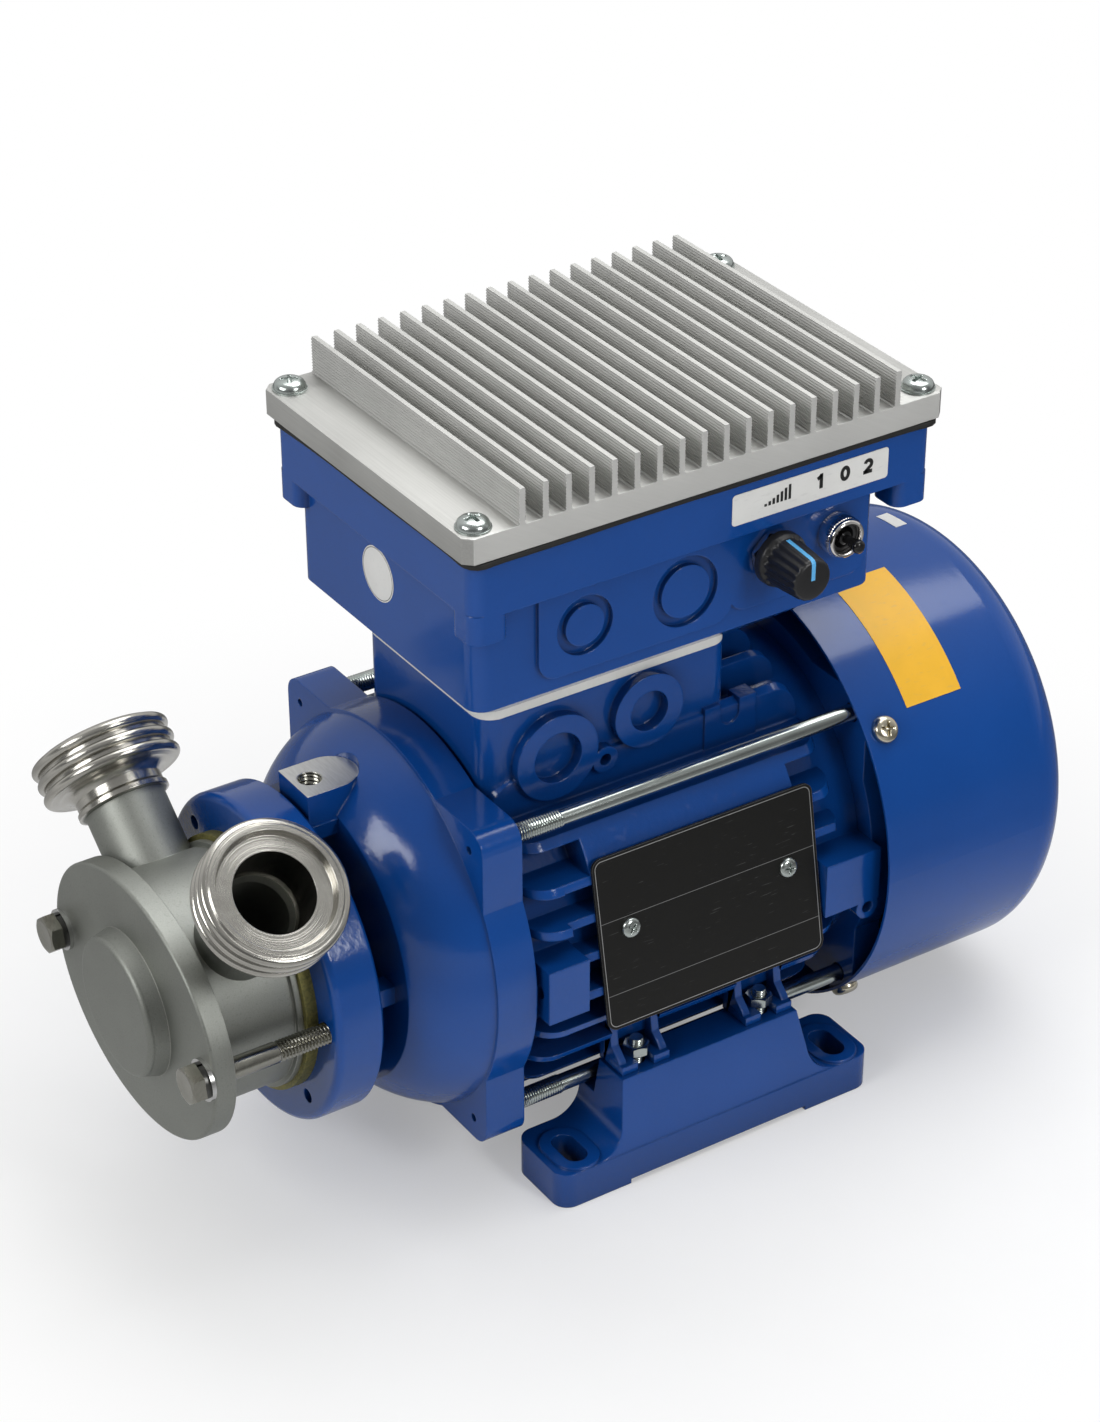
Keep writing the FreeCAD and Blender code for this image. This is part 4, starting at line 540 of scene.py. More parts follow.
def lantern_enamel():
    """Enamel whose lifting-eye pad and eye hole are machined to bare aluminium."""
    look = Finish("enamel_with_bare_pad", Specular_IOR_Level=0.5)
    cloud = look.noise(38, 3)
    x, y, z = [look.axis(k) for k in range(3)]
    behind = (y - PAD_ROUND_Y * MM).most(0.0)
    from_middle = (x * x + behind * behind) ** 0.5
    pad = z.step((PAD_Z - 0.06) * MM, 0.02 * MM) * (1.0 - from_middle.step(PAD_RADIUS * MM, 0.05 * MM))
    pad = pad * (1.0 - y.step(PAD_EDGE_Y * MM, 0.1 * MM))
    dx, dy = x - EYE[0] * MM, y - EYE[1] * MM
    hole = 1.0 - (dx * dx + dy * dy).step((EYE_RADIUS * MM) ** 2, (1.0 * MM) ** 2)
    bare = pad.most(hole * z.step((PAD_Z - EYE_DEPTH) * MM, 1.0 * MM))
    mill = look.noise(0.5, 2, (0.12, 1, 1))
    tint = look.mix(mill, (0.50, 0.50, 0.48), (0.74, 0.74, 0.72))
    height = look.noise(2.4, 2) * (1.0 - bare) + mill * bare * 0.4
    return look.done(look.mix(bare, painted(look, cloud, 0.6), tint), 0.10 + 0.08 * cloud + bare * 0.19,
                     height, 0.05, 0.6, bare)


def blasted_steel(name, machined):
    """Bead-blasted cast steel; machined adds turned and polished port heads."""
    look = Finish(name, Specular_IOR_Level=0.5, Metallic=1.0)
    grain = look.noise(0.38, 3, rough=0.7)
    cloud = look.noise(14, 3)
    edge = look.edges(0.5)
    tint = look.mix(cloud * 0.4 + grain * 0.6, shade("steel", 0.66), shade("steel", 1.34))
    tint = look.mix(look.speckle(0.7, 0.35) * 0.25, tint, shade("steel", 0.55))
    tint = look.mix(edge * 0.5, tint, shade("bright", 1.0))
    rough = 0.38 + 0.14 * cloud + 0.10 * grain - edge * 0.12
    height = grain
    if machined:
        lengths, runs = [], []
        for angle in PORT_ANGLES:
            length, across = [look.along(look.place, way) - float(way[2]) * SHAFT_Z * MM
                              for way in (radial(angle), radial(angle + 90))]
            ahead = look.axis(1) - PORT_Y * MM
            lengths.append(length)
            runs.append(length + (across * across + ahead * ahead) ** 0.5)
        first = (lengths[0] - lengths[1]).step(0.0, 0.01 * MM)
        turned = lengths[0].most(lengths[1]).step((NECK_REACH + 0.2) * MM, 0.15 * MM)
        tool = look.node("ShaderNodeTexNoise", {"noise_dimensions": "1D"},
                         {"W": runs[1] + first * (runs[0] - runs[1]), "Scale": 1 / (0.22 * MM),
                          "Detail": 2.0})
        stain = look.noise(9, 3)
        bright = look.mix(stain * 0.7 + tool * 0.3, shade("bright", 0.66), shade("bright", 1.16))
        tint = look.mix(turned, tint, bright)
        rough = rough * (1.0 - turned) + turned * (0.15 + 0.10 * stain)
        height = grain * (1.0 - turned) + tool * turned * 0.5
    return look.done(tint, rough, height, 0.06, 0.35)


def metal(name, tone, rough, size, depth, worn, streak=(1, 1, 1)):
    """Plain metal whose tint, gloss and relief follow drawn-out streaks and soft stains."""
    look = Finish(name, Metallic=1.0)
    line = look.noise(size, 3, streak, 0.6)
    stain = look.noise(7, 3)
    tint = look.mix(line * 0.55 + stain * 0.45, shade(tone, 1 - worn), shade(tone, 1 + worn * 0.6))
    return look.done(tint, rough + 0.12 * (stain - 0.5) + 0.10 * (line - 0.5), line, depth)


def moulded(name, tone, rough, grain, depth, spread, edge=0.0, level=0.5):
    """Plastic, rubber or ceramic: a fine skin, clouds of tint and lighter edges."""
    look = Finish(name, Specular_IOR_Level=level)
    skin = look.noise(grain, 2)
    cloud = look.noise(9, 3)
    tint = look.mix(cloud * 0.7 + skin * 0.3, shade(tone, 1 - spread), shade(tone, 1 + spread))
    if edge:
        tint = look.mix(look.edges(edge) * 0.3, tint, shade(tone, 1.5, 0.02))
    return look.done(tint, rough + 0.14 * (cloud - 0.5) + 0.10 * (skin - 0.5), skin, depth, edge)


def plated_ring():
    """Olive yellow plating that has gone dark in scattered spots."""
    look = Finish("yellowed_plating", Metallic=0.75)
    spots = look.speckle(1.0, 0.9)
    cloud = look.noise(5, 3)
    base = look.mix(cloud, shade("ring", 0.7), shade("ring", 1.4))
    return look.done(look.mix(spots * 0.35, base, (0.08, 0.08, 0.04)), 0.42 + 0.2 * cloud,
                     cloud + spots * 0.4, 0.03, 0.2)


def plate_black():
    """Black plate with a thin silver border; its face is measured along the shaft and up the tilt."""
    look = Finish("black_plate", Specular_IOR_Level=0.25)
    tilt = math.radians(PLATE_TILT)
    along = look.axis(1) / MM - PLATE_MIDDLE[0]
    up = look.along(look.place, (-math.sin(tilt), 0.0, math.cos(tilt))) / MM
    up = up - math.cos(tilt) * SHAFT_Z - PLATE_MIDDLE[1]
    corner, inset = 2.2, 0.9
    beyond = [(abs(value) - (size / 2 - inset - corner)).most(0.0)
              for value, size in zip((along, up), PLATE_SIZE)]
    out = (beyond[0] * beyond[0] + beyond[1] * beyond[1]) ** 0.5
    inside = 1.0 - out.step(corner, 0.05)
    rules = up.band(PLATE_RULES[0], 0.07, 0.05).most(up.band(PLATE_RULES[1], 0.07, 0.05)) * inside
    lines = out.band(corner, 0.08, 0.05).most(rules * 0.45)
    scuff = look.noise(0.35, 2, (1, 0.06, 1)).step(0.70, 0.03) * look.noise(9, 2).step(0.55, 0.1)
    grain = look.noise(0.4, 2)
    black = look.mix(grain, (0.005, 0.005, 0.0046), (0.010, 0.010, 0.0092))
    black = look.mix(look.edges(0.3) * 0.6, black, (0.20, 0.20, 0.20))
    black = look.mix(scuff * 0.5, black, (0.10, 0.10, 0.10))
    return look.done(look.mix(lines, black, (0.55, 0.55, 0.55)), 0.34 + 0.16 * grain,
                     grain * 0.5 + lines, 0.02, 0.15, lines * 0.8)


def sawn_aluminium():
    """Drawn aluminium: lines along the fins, and slanting saw marks on the two sawn sides."""
    look = Finish("drawn_aluminium")
    low, high = in_mm("heat_sink_lid")
    lines = look.noise(0.45, 3, (0.02, 1, 1), 0.6)
    end = abs(look.axis(0) - CASE_X * MM).step(((high[0] - low[0]) / 2 - 0.12) * MM, 0.06 * MM)
    turned = look.node("ShaderNodeVectorRotate", {"rotation_type": "X_AXIS"},
                       {"Vector": look.place, "Angle": math.radians(28)})
    stain = look.noise(16, 3)
    mark = lines * (1.0 - end) + look.cloudy(turned, (1, 0.05, 1), 0.5, Detail=3.0) * end
    tint = look.mix(mark * 0.6 + stain * 0.4, shade("aluminium", 0.76), shade("aluminium", 1.18))
    tint = look.mix(end * 0.6, tint, (0.66, 0.66, 0.64))
    tint = look.mix(look.edges(0.35) * 0.4, tint, (0.74, 0.74, 0.73))
    return look.done(tint, 0.48 + 0.14 * stain - 0.06 * end, mark, 0.03, 0.15, 1.0 - 0.55 * end)


def printed_film(name, tone):
    """Printed film: even colour with faint clouds, a soft skin and slightly darker rubbed spots."""
    look = Finish(name, Specular_IOR_Level=0.4)
    cloud = look.noise(6, 3)
    rub = look.noise(0.8, 2, (1, 0.25, 1)).step(0.66, 0.06)
    base = look.mix(cloud, shade(tone, 0.93), shade(tone, 1.05))
    return look.done(look.mix(rub * 0.12, base, (0.3, 0.3, 0.3)), 0.32 + 0.12 * cloud,
                     look.noise(1.2, 2), 0.01)


def board_green():
    """Circuit board: green lacquer with paler tracks on a fine grid."""
    look = Finish("board_lacquer", Specular_IOR_Level=0.5)
    tracks = look.node("ShaderNodeTexBrick", None,
                       {"Vector": look.place, "Scale": 90.0, "Mortar Size": 0.03}, 1)
    cloud = look.noise(10, 2)
    base = look.mix(cloud, (0.015, 0.09, 0.035), (0.03, 0.16, 0.06))
    return look.done(look.mix(tracks * 0.6, base, (0.10, 0.32, 0.14)), 0.35 + 0.1 * cloud, tracks, 0.03)


def wound_copper():
    """Lacquered copper end turns: strands that run round the bore."""
    look = Finish("wound_copper", Metallic=0.9)
    strands = look.noise(0.7, 3, (1, 6, 1), 0.6)
    tint = look.mix(strands, (0.22, 0.075, 0.02), (0.62, 0.26, 0.10))
    return look.done(tint, 0.35 + 0.25 * strands, strands, 0.15)


def stacked_sheets():
    """Laminations: thin dark lines across the shaft."""
    look = Finish("stacked_sheets", Metallic=0.9)
    line = look.node("ShaderNodeTexWave", {"bands_direction": "Y"},
                     {"Vector": look.place, "Scale": 320.0, "Distortion": 0.4}, 1)
    rust = look.noise(6, 3)
    tint = look.mix(line * 0.6 + rust * 0.4, (0.07, 0.065, 0.06), (0.28, 0.27, 0.26))
    return look.done(tint, 0.45 + 0.2 * rust, line, 0.05)


# Each finish: its function, then the name of the material and the other values of that function
finish_rows = {
    "sheet_enamel": (enamel, "sheet_enamel", 0.018, 0.15, 0.4),
    "cast_enamel": (enamel, "cast_enamel", 0.05, 0.3, 0.7),
    "case_enamel": (enamel, "case_enamel", 0.025, 0.3, 0.6),
    "lantern_enamel": (lantern_enamel,),
    "blasted": (blasted_steel, "blasted_steel", False),
    "blasted_ports": (blasted_steel, "blasted_steel_with_turned_ports", True),
    "yellowed": (plated_ring,),
    "zinc": (metal, "bright_zinc", "zinc", 0.24, 1.2, 0.012, 0.22),
    "yellow_zinc": (metal, "pale_yellow_zinc", (0.68, 0.63, 0.50), 0.24, 1.2, 0.012, 0.25),
    "drawn_zinc": (metal, "drawn_zinc", "zinc", 0.20, 0.5, 0.012, 0.3, (1, 0.03, 1)),
    "bolt": (metal, "bolt_steel", (0.33, 0.325, 0.285), 0.24, 1.0, 0.015, 0.3),
    "dark_spring": (metal, "dark_spring_steel", (0.10, 0.10, 0.095), 0.32, 0.8, 0.01, 0.3),
    "turned": (metal, "turned_steel", (0.56, 0.56, 0.55), 0.22, 0.9, 0.01, 0.25, (1, 12, 1)),
    "chrome": (metal, "chrome", (0.80, 0.78, 0.76), 0.10, 2.0, 0.003, 0.12),
    "brass": (metal, "brass", (0.62, 0.44, 0.17), 0.28, 0.8, 0.01, 0.25, (1, 4, 1)),
    "cast_aluminium": (metal, "cast_aluminium", (0.5, 0.5, 0.5), 0.45, 1.0, 0.05, 0.3),
    "aluminium": (sawn_aluminium,),
    "rubber": (moulded, "black_rubber", (0.016, 0.016, 0.015), 0.62, 0.6, 0.03, 0.35, 0.3, 0.35),
    "knob_black": (moulded, "knob_plastic", (0.011, 0.011, 0.012), 0.38, 0.4, 0.015, 0.25, 0.15),
    "gloss_black": (moulded, "gloss_black", (0.009, 0.009, 0.010), 0.14, 1.0, 0.004, 0.2),
    "fan_black": (moulded, "fan_plastic", (0.022, 0.022, 0.023), 0.45, 0.5, 0.02, 0.25, 0.3),
    "pale_plate": (moulded, "pale_gasket_plate", (0.66, 0.66, 0.63), 0.45, 0.7, 0.02, 0.12, 0.3),
    "carbon": (moulded, "carbon", (0.03, 0.03, 0.032), 0.35, 0.4, 0.005, 0.2),
    "ceramic": (moulded, "ceramic", (0.70, 0.67, 0.60), 0.25, 0.5, 0.003, 0.06),
    "module": (moulded, "moulded_module", (0.03, 0.03, 0.032), 0.5, 0.6, 0.03, 0.25, 0.3),
    "plate": (plate_black,),
    "board": (board_green,),
    "copper": (wound_copper,),
    "sheets": (stacked_sheets,),
    "card": (printed_film, "white_film", "card"),
    "patch": (printed_film, "yellow_film", "patch"),
    "ink": (moulded, "printing_ink", (0.012, 0.012, 0.012), 0.4, 0.5, 0.003, 0.2),
    "pointer": (moulded, "pointer_inlay", "pointer", 0.32, 0.6, 0.005, 0.08),
}
finished = {}


def finish(name):
    """The finish of that name, made once."""
    if name not in finished:
        maker, *values = finish_rows[name]
        finished[name] = maker(*values)
    return finished[name]


def dress(look, *nodes):
    """Gives solid parts a finish."""
    for node in nodes:
        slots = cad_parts[node].material_slots
        if not slots:
            raise RuntimeError(node + " has no material slot")
        for place in slots:
            place.material = finish(look)


# Small parts

def cross_head(centre, direction, shank, reach, radius, height, flange, turn):
    """Screw with a pan head and a cross recess.

    The head is a superellipse of revolution, height times the 2.6th root of one minus the
    3.4th power of the relative radius. The recess goes down by a depth that falls off towards
    the ends of two crossed bars, whose distance is that of a plus-shaped outline.
    """
    columns = 72
    rim = np.sin(np.linspace(math.asin(0.74), math.pi / 2, 11))
    share = np.concatenate([np.linspace(0.04, 0.70, 17), rim])
    top = height * (1 - share ** 3.4) ** (1 / 2.6)
    r, a = np.meshgrid(share * radius, turns(columns), indexing="ij")
    x, y = np.abs(r * np.cos(a + turn)), np.abs(r * np.sin(a + turn))
    arm, half = 0.56 * radius, 0.115 * radius
    outside = np.minimum(np.maximum(x - arm, y - half), np.maximum(y - arm, x - half))
    inside = np.clip(-outside / (0.055 * radius), 0, 1)
    depth = 0.62 * height * inside * (1 - 0.75 * (r / arm) ** 2).clip(0.15, 1)
    lower = [(0.0, radius)]
    if flange:
        lower = [(0.55, radius), (0.5, radius + flange), (0.0, radius + flange)]
    lower += [(0.0, shank), (-reach, shank)]
    grid = np.concatenate([polar(r, a, top[:, None] - depth), revolved(lower, columns)])
    return closed(placed(grid, centre, direction))


def hexagon_radius(angle, flats):
    """Distance of a hexagon's side at an angle: half the width over flats over the cosine from its middle."""
    sixth = math.pi / 3
    return flats / 2 / np.cos((angle % sixth) - sixth / 2)


def nut(centre, direction, flats, height, bore, turn):
    """Hexagon nut: a ring whose outer side is a hexagon, both faces cut by a cone of 30 degrees."""
    columns, bevel = 96, 0.35
    disc = flats / 2 * 0.96
    side = hexagon_radius(turns(columns) + turn, flats)
    cut = np.maximum(side - disc, 0) * CONE
    rows = [(bore, bevel), (bore + bevel, 0.0), (disc, 0.0), (side, cut), (side, height - cut),
            (disc, height), (bore + bevel, height), (bore, height - bevel)]
    return hoop(placed(ringed(rows, columns), centre, direction))


def thread(start, end, radius, depth, pitch, columns):
    """Grid of a screw thread about the third axis: the radius falls by depth times a triangle wave of
    height over pitch less the turn, and runs out smoothly at both ends."""
    z = np.linspace(start, end, max(8, int((end - start) / pitch * 8)))[:, None]
    angle = turns(columns)
    fade = np.clip((z - start) / pitch, 0, 1) * np.clip((end - z) / pitch, 0, 1)
    full = np.minimum(1, fade * 2)
    wave = np.clip(1.25 * saw(z / pitch - angle / TURN) - 0.12, 0, 1)
    return polar(radius - depth * (wave * full + (1 - full) * 0.5), angle, z)


def sleeve(turned, back):
    """Ring out of a thread's grid and a plain back at another radius."""
    plain = polar(back, turns(turned.shape[1]), turned[[-1, 0], :, 2])
    return np.concatenate([turned, plain])


def bolt(centre, direction, flats, head, radius, length, plain, pitch):
    """Hexagon bolt: the head's top is a flat disc cut by a cone, and the thread is a helix."""
    columns = 72
    disc = flats / 2 * 0.94
    side = hexagon_radius(turns(columns) + 0.35, flats)
    cut = np.maximum(side - disc, 0) * CONE
    rows = [(flats * 0.2, head - 0.12), (flats / 2 * 0.80, head), (disc, head), (side, head - cut),
            (side, 0.0), (radius, 0.0), (radius, -plain), (radius * 0.93, -plain - 0.3)]
    turned = thread(-length + 0.8, -plain - 0.4, radius, 0.11 * radius * 2, pitch, columns)
    grid = [ringed(rows, columns), turned[::-1], revolved([(-length, radius * 0.7)], columns)]
    return closed(placed(np.concatenate(grid), centre, direction))


def heat_sink():
    """Lid: an eight-sided plate with crisp edges, and fins whose flanks carry fine ridges.

    The plate is its outline pulled in a little at both faces. A fin's section is a strip
    whose half width is a triangle wave of height, carried across the whole lid.
    """
    low, high = in_mm("heat_sink_lid")
    x0, x1, y0, y1 = low[0], high[0], low[1], high[1]
    top, cut = low[2] + SINK_PLATE, SINK_CORNER
    corners = np.array([(x0 + cut, y0), (x1 - cut, y0), (x1, y0 + cut), (x1, y1 - cut),
                        (x1 - cut, y1), (x0 + cut, y1), (x0, y1 - cut), (x0, y0 + cut)])
    rows = [(0.25, low[2]), (0.0, low[2] + 0.25), (0.0, top - 0.28), (0.08, top - 0.08), (0.28, top)]
    skins = [closed(tiers(corners, rows, np.array([(x1 - x0) / 2, (y1 - y0) / 2])))]
    ridges = 11
    steps = np.linspace(0, 1, 4 * ridges + 1)
    width = 1.0 - bpy.context.scene.pump_sizes.sink_ridge / MM * saw(steps * ridges + 0.5)
    width = np.concatenate([[1.2, 1.2, 1.03], width, [0.72]])
    z = top + 0.35 + steps * (high[2] - 0.25 - top - 0.35)
    z = np.concatenate([[top - 0.4, top + 0.02, top + 0.15], z, [high[2]]])
    side = np.concatenate([np.stack([width, z], 1), np.stack([-width[::-1], z[::-1]], 1)])
    for fin in range(SINK_FINS):
        y = (y0 + y1) / 2 + (fin - (SINK_FINS - 1) / 2) * SINK_PITCH
        skins.append(prism(side, x0 + 0.02, x1 - 0.02, (2, 0, 1), (0.0, y, 0.0)))
    return skins


def gasket():
    """Flat rubber frame whose outer lip wanders: its reach is a sum of sines round the rim plus a
    bulge at each corner, and the lip droops where it reaches far."""
    low, high = in_mm("inverter_case")
    size = (high - low)[:2]
    flat = rounded(*size, 4.0, 12)
    flat = np.concatenate([flat, flat[:1]])
    run = np.concatenate([[0], np.cumsum(np.linalg.norm(np.diff(flat, axis=0), axis=1))])
    t = np.linspace(0, run[-1], 361)[:-1]
    path = np.stack([np.interp(t, run, flat[:, k]) for k in (0, 1)], 1)
    phase = t / run[-1] * TURN
    corner = np.prod(np.abs(path / (size / 2)) ** 30, axis=1)
    lip = bpy.context.scene.pump_sizes.gasket_lip / MM
    reach = lip + 0.30 * np.sin(3 * phase + 1) + 0.22 * np.sin(7 * phase) + 2.1 * corner
    left_front = np.exp(-((path + size / 2) ** 2).sum(1) / 900)
    droop = 0.25 + 0.5 * corner + 1.5 * left_front
    thick = 1.6
    rows = [(-6.0, 0.0, 0.0), (-6.0, thick, 0.0), (0.4, thick, 0.0), (0.85, thick, 0.45),
            (1.0, thick - 0.3, 0.8), (1.0, 0.35, 1.0), (0.8, 0.0, 0.8), (0.3, 0.0, 0.0)]
    share, level, sink = np.array(rows).T[:, :, None]
    out = np.where(share < 0, share, share * reach)
    flat = path + normals(path, True) * out[..., None] + ((low + high) / 2)[:2]
    return [hoop(np.concatenate([flat, (high[2] + level - droop * sink)[..., None]], -1))]


def speed_knob():
    """Fluted knob: its radius tapers from skirt to face, less flutes that are powers of a cosine
    of the angle and fade at the skirt, at the face and beside the pointer."""
    low, high = in_mm("speed_knob")
    length = high[0] - low[0]
    profile = [(0, 7.5, 0), (0.25, 7.8, 0), (2.2, 7.8, 0), (2.9, 7.55, 0), (3.3, 7.1, 0.5), (3.8, 6.95, 1),
               (4.6, 6.9, 1), (6, 6.8, 1), (8, 6.65, 1), (10, 6.5, 1), (12, 6.35, 1), (13.6, 6.22, 1),
               (14.4, 6.15, 0.9), (14.9, 6.05, 0.55), (15.3, 5.85, 0.15), (15.6, 5.5, 0), (length, 5.0, 0),
               (length, 2.0, 0)]
    angle = turns(256)
    beside = np.clip((np.abs((angle + math.pi) % TURN - math.pi) - 0.22) / 0.12, 0, 1)
    wave = (0.5 - 0.5 * np.cos(18 * angle)) ** 0.8 * beside
    grid = grooved(profile, bpy.context.scene.pump_sizes.knob_rib / MM, wave)
    return [closed(grid[::-1, :, [2, 1, 0]] + (low[0], *KNOB))]


def knob_pointer():
    """Inlaid strip: a flat bar carried up the flank and over the face to the middle."""
    low, high = in_mm("speed_knob")
    length = high[0] - low[0]
    path = np.array([(4.2, 6.93), (5.0, 6.88), (9.0, 6.60), (13.4, 6.25), (14.5, 6.15), (15.1, 5.95),
                     (15.55, 5.60), (length, 5.1), (length, 2.5), (length, 0.2)])
    half, rise, sink = 0.62, 0.10, 0.5
    side, lift = np.array([(-half, -sink), (-half, rise * 0.4), (-half * 0.8, rise), (half * 0.8, rise),
                           (half, rise * 0.4), (half, -sink)]).T
    at = path[:, None] - normals(path, False)[:, None] * lift[:, None]
    grid = np.stack([at[..., 0], np.broadcast_to(side, at.shape[:2]), at[..., 1]], -1)
    return [closed(grid + (low[0], *KNOB))]


def knurled_nut():
    """Round nut: the flank's radius carries a triangle wave of the angle, the face has a round lip."""
    profile = [(0.0, 4.2, 0), (0.0, 5.8, 0), (0.25, 6.0, 1), (4.3, 6.0, 1), (4.6, 5.75, 0.4), (4.8, 5.6, 0),
               (5.3, 5.62, 0), (5.75, 5.45, 0), (6.0, 5.05, 0), (5.9, 4.6, 0), (5.5, 4.3, 0), (4.8, 4.2, 0)]
    grid = grooved(profile, 0.24, saw(turns(180) / TURN * 45))
    return [hoop(grid[..., [2, 0, 1]] + SWITCH)]


def lever():
    """Toggle lever: a round stem on a ball-shaped boot, thicker to its rounded tip.

    Every row is a circle; the boot's rows lie on a sphere about the pivot, so it can swing.
    """
    turn = np.radians(np.linspace(BOOT_ANGLE, 14, 7))
    boot = BOOT_BALL * np.stack([np.cos(turn), np.sin(turn)], 1)
    tip = [(5.3, 1.20), (5.8, 1.22), (8.2, 1.42), (9.2, 1.62), (9.9, 1.86), (10.6, 1.95), (11.2, 1.78),
           (11.6, 1.3), (11.78, 0.7)]
    stem = [(-2.7, 0.5), (-2.2, 1.6), (-1.0, 2.5), (0.0, 2.7), (1.2, 2.3), (2.4, 1.3), (4.4, 1.3)]
    grids = [revolved(np.concatenate([boot[:1] - (0.1, 0.5), boot, tip]), 48), revolved(stem, 32)]
    return [closed(placed(grid, SWITCH, (1.0, 0.0, 0.0))) for grid in grids]


def stroke(points, half, join):
    """Printed line: a low bar of even width carried along a path, its sides set off by the normal."""
    path = np.array(points, float)
    side, lift = np.array([(-half, 0.12), (-half, 0.20), (half, 0.20), (half, 0.12)]).T[:, :, None]
    flat = path[:, None] + normals(path, join)[:, None] * side
    grid = np.concatenate([np.broadcast_to(RIM_X + lift, (len(path), 4, 1)), flat], -1)
    return hoop(grid, 1) if join else closed(grid, 1)


def figures(height, half):
    """Paths of 1, 0 and 2 about their middles, and whether they join: straight lines, an ellipse, and a
    half circle that runs down a slope."""
    top = height - half
    width = 0.24 * height
    turn = turns(40)
    one = [[(-0.02 * height, half * 0.2), (-0.02 * height, height)],
           [(-0.30 * height, 0.70 * height), (-0.14 * height, 0.78 * height), (0.0, top + half * 0.2)]]
    zero = np.stack([width * np.cos(turn), height / 2 + (height / 2 - half) * np.sin(turn)], 1)
    arc = np.linspace(math.radians(165), math.radians(-42), 16)
    bow = np.stack([width * np.cos(arc), top - width + width * np.sin(arc)], 1)
    two = [np.concatenate([bow, [(-0.10 * height, 0.24 * height), (-width - 0.02, half)]]),
           [(-width - half * 0.9, half), (width + half * 0.5, half)]]
    return (one, False), ([zero], True), (two, False)


def control_label():
    """White label with a ramp of seven bars and the figures 1 0 2, each a thin raised outline."""
    height = bpy.context.scene.pump_sizes.label_height / MM
    middle = np.array(LABEL_MIDDLE)
    left, foot = middle - np.array([LABEL_WIDTH, height]) / 2 + (0.0, 3.0)
    on_rim = {"order": (2, 0, 1), "origin": (RIM_X, 0.0, 0.0)}
    skins = [prism(rounded(LABEL_WIDTH, height, 1.0) + middle, 0.0, 0.16, edge=0.05, **on_rim)]
    bars, pitch, thick = 7, 1.30, 0.82
    for bar in range(bars):
        x = left + 10.3 + bar * pitch
        top = foot + 0.75 + 3.6 * (bar / (bars - 1)) ** 1.15
        outline = np.array([(x, foot), (x + thick, foot), (x + thick, top), (x, top)])
        skins.append(prism(outline, 0.12, 0.20, look=1, **on_rim))
    for (paths, join), share in zip(figures(FIGURE_HEIGHT, FIGURE_HALF), (0.565, 0.718, 0.868)):
        corner = np.array([left + share * LABEL_WIDTH, foot])
        skins += [stroke(np.array(path) + corner, FIGURE_HALF, join) for path in paths]
    return skins


def disc_label():
    """Round label on the pump side of the case: a thin disc, and a raised ring near its edge."""
    rim = DISC_RADIUS
    disc = revolved([(0.0, rim), (0.10, rim), (0.14, rim - 0.1), (0.14, 1.0)], 96)
    ring = revolved([(0.12, rim - 0.55), (0.15, rim - 0.55), (0.15, rim - 0.35), (0.12, rim - 0.35)], 96)
    outward = (0.0, -1.0, 0.0)
    return [closed(placed(disc, DISC_PLACE, outward)), hoop(placed(ring, DISC_PLACE, outward), 1)]


def arc_wall(start, end, outer, inner, y0, y1, steps=25):
    """Grid of a wall between two radii over a range of angle, in closed sections round the shaft."""
    angle = np.radians(np.linspace(start, end, steps))[:, None]
    grid = polar(np.array([outer, outer, inner, inner]), angle, np.array([y0, y1, y1, y0]))
    return grid[..., [0, 2, 1]] + (0.0, 0.0, SHAFT_Z)


def cowl_film(y0, y1, start, end):
    """Thin film on the cowl over a range of length and angle."""
    return [capped(arc_wall(start, end, *FILM_RADII, y0, y1, 40))]


def eye_thread():
    """Thread inside the lifting-eye hole: a sleeve whose inner radius carries a helical wave."""
    turned = thread(*EYE_THREAD_Z, *EYE_THREAD)
    return [hoop(sleeve(turned, EYE_THREAD_BACK) + (*EYE, 0.0))]


def rod_threads():
    """Rolled threads behind the front shield: on each tie rod a sleeve whose outer radius is a
    helical wave, a little prouder than the drawn rod."""
    low, high = in_mm("tie_rods")
    middle = (low + high) / 2
    reach = (high - low)[0] / 2 - ROD_HEAD_RADIUS
    turned = thread(*ROD_THREAD_Y, *ROD_THREAD)
    ring = sleeve(turned, ROD_RADIUS - 0.1)[..., [0, 2, 1]]
    return [hoop(ring + (middle[0] + sx * reach, 0.0, middle[2] + sz * reach))
            for sx in (-1, 1) for sz in (-1, 1)]


def lantern_webs():
    """Two webs that join flange and bell, and a short rib on each side at the shaft's height."""
    y0, y1 = GAP_Y[0] - 0.4, GAP_Y[1] + 0.4
    skins = [closed(arc_wall(start, end, *WEB_RADII, y0, y1)) for start, end in WEB_ANGLES]
    near, far, thick = SIDE_RIB
    for side in (-1, 1):
        outline = np.array([(near, y0), (far, y0), (far, y1), (near, y1)]) * (side, 1.0)
        skins.append(prism(outline, SHAFT_Z - thick / 2, SHAFT_Z + thick / 2))
    return skins


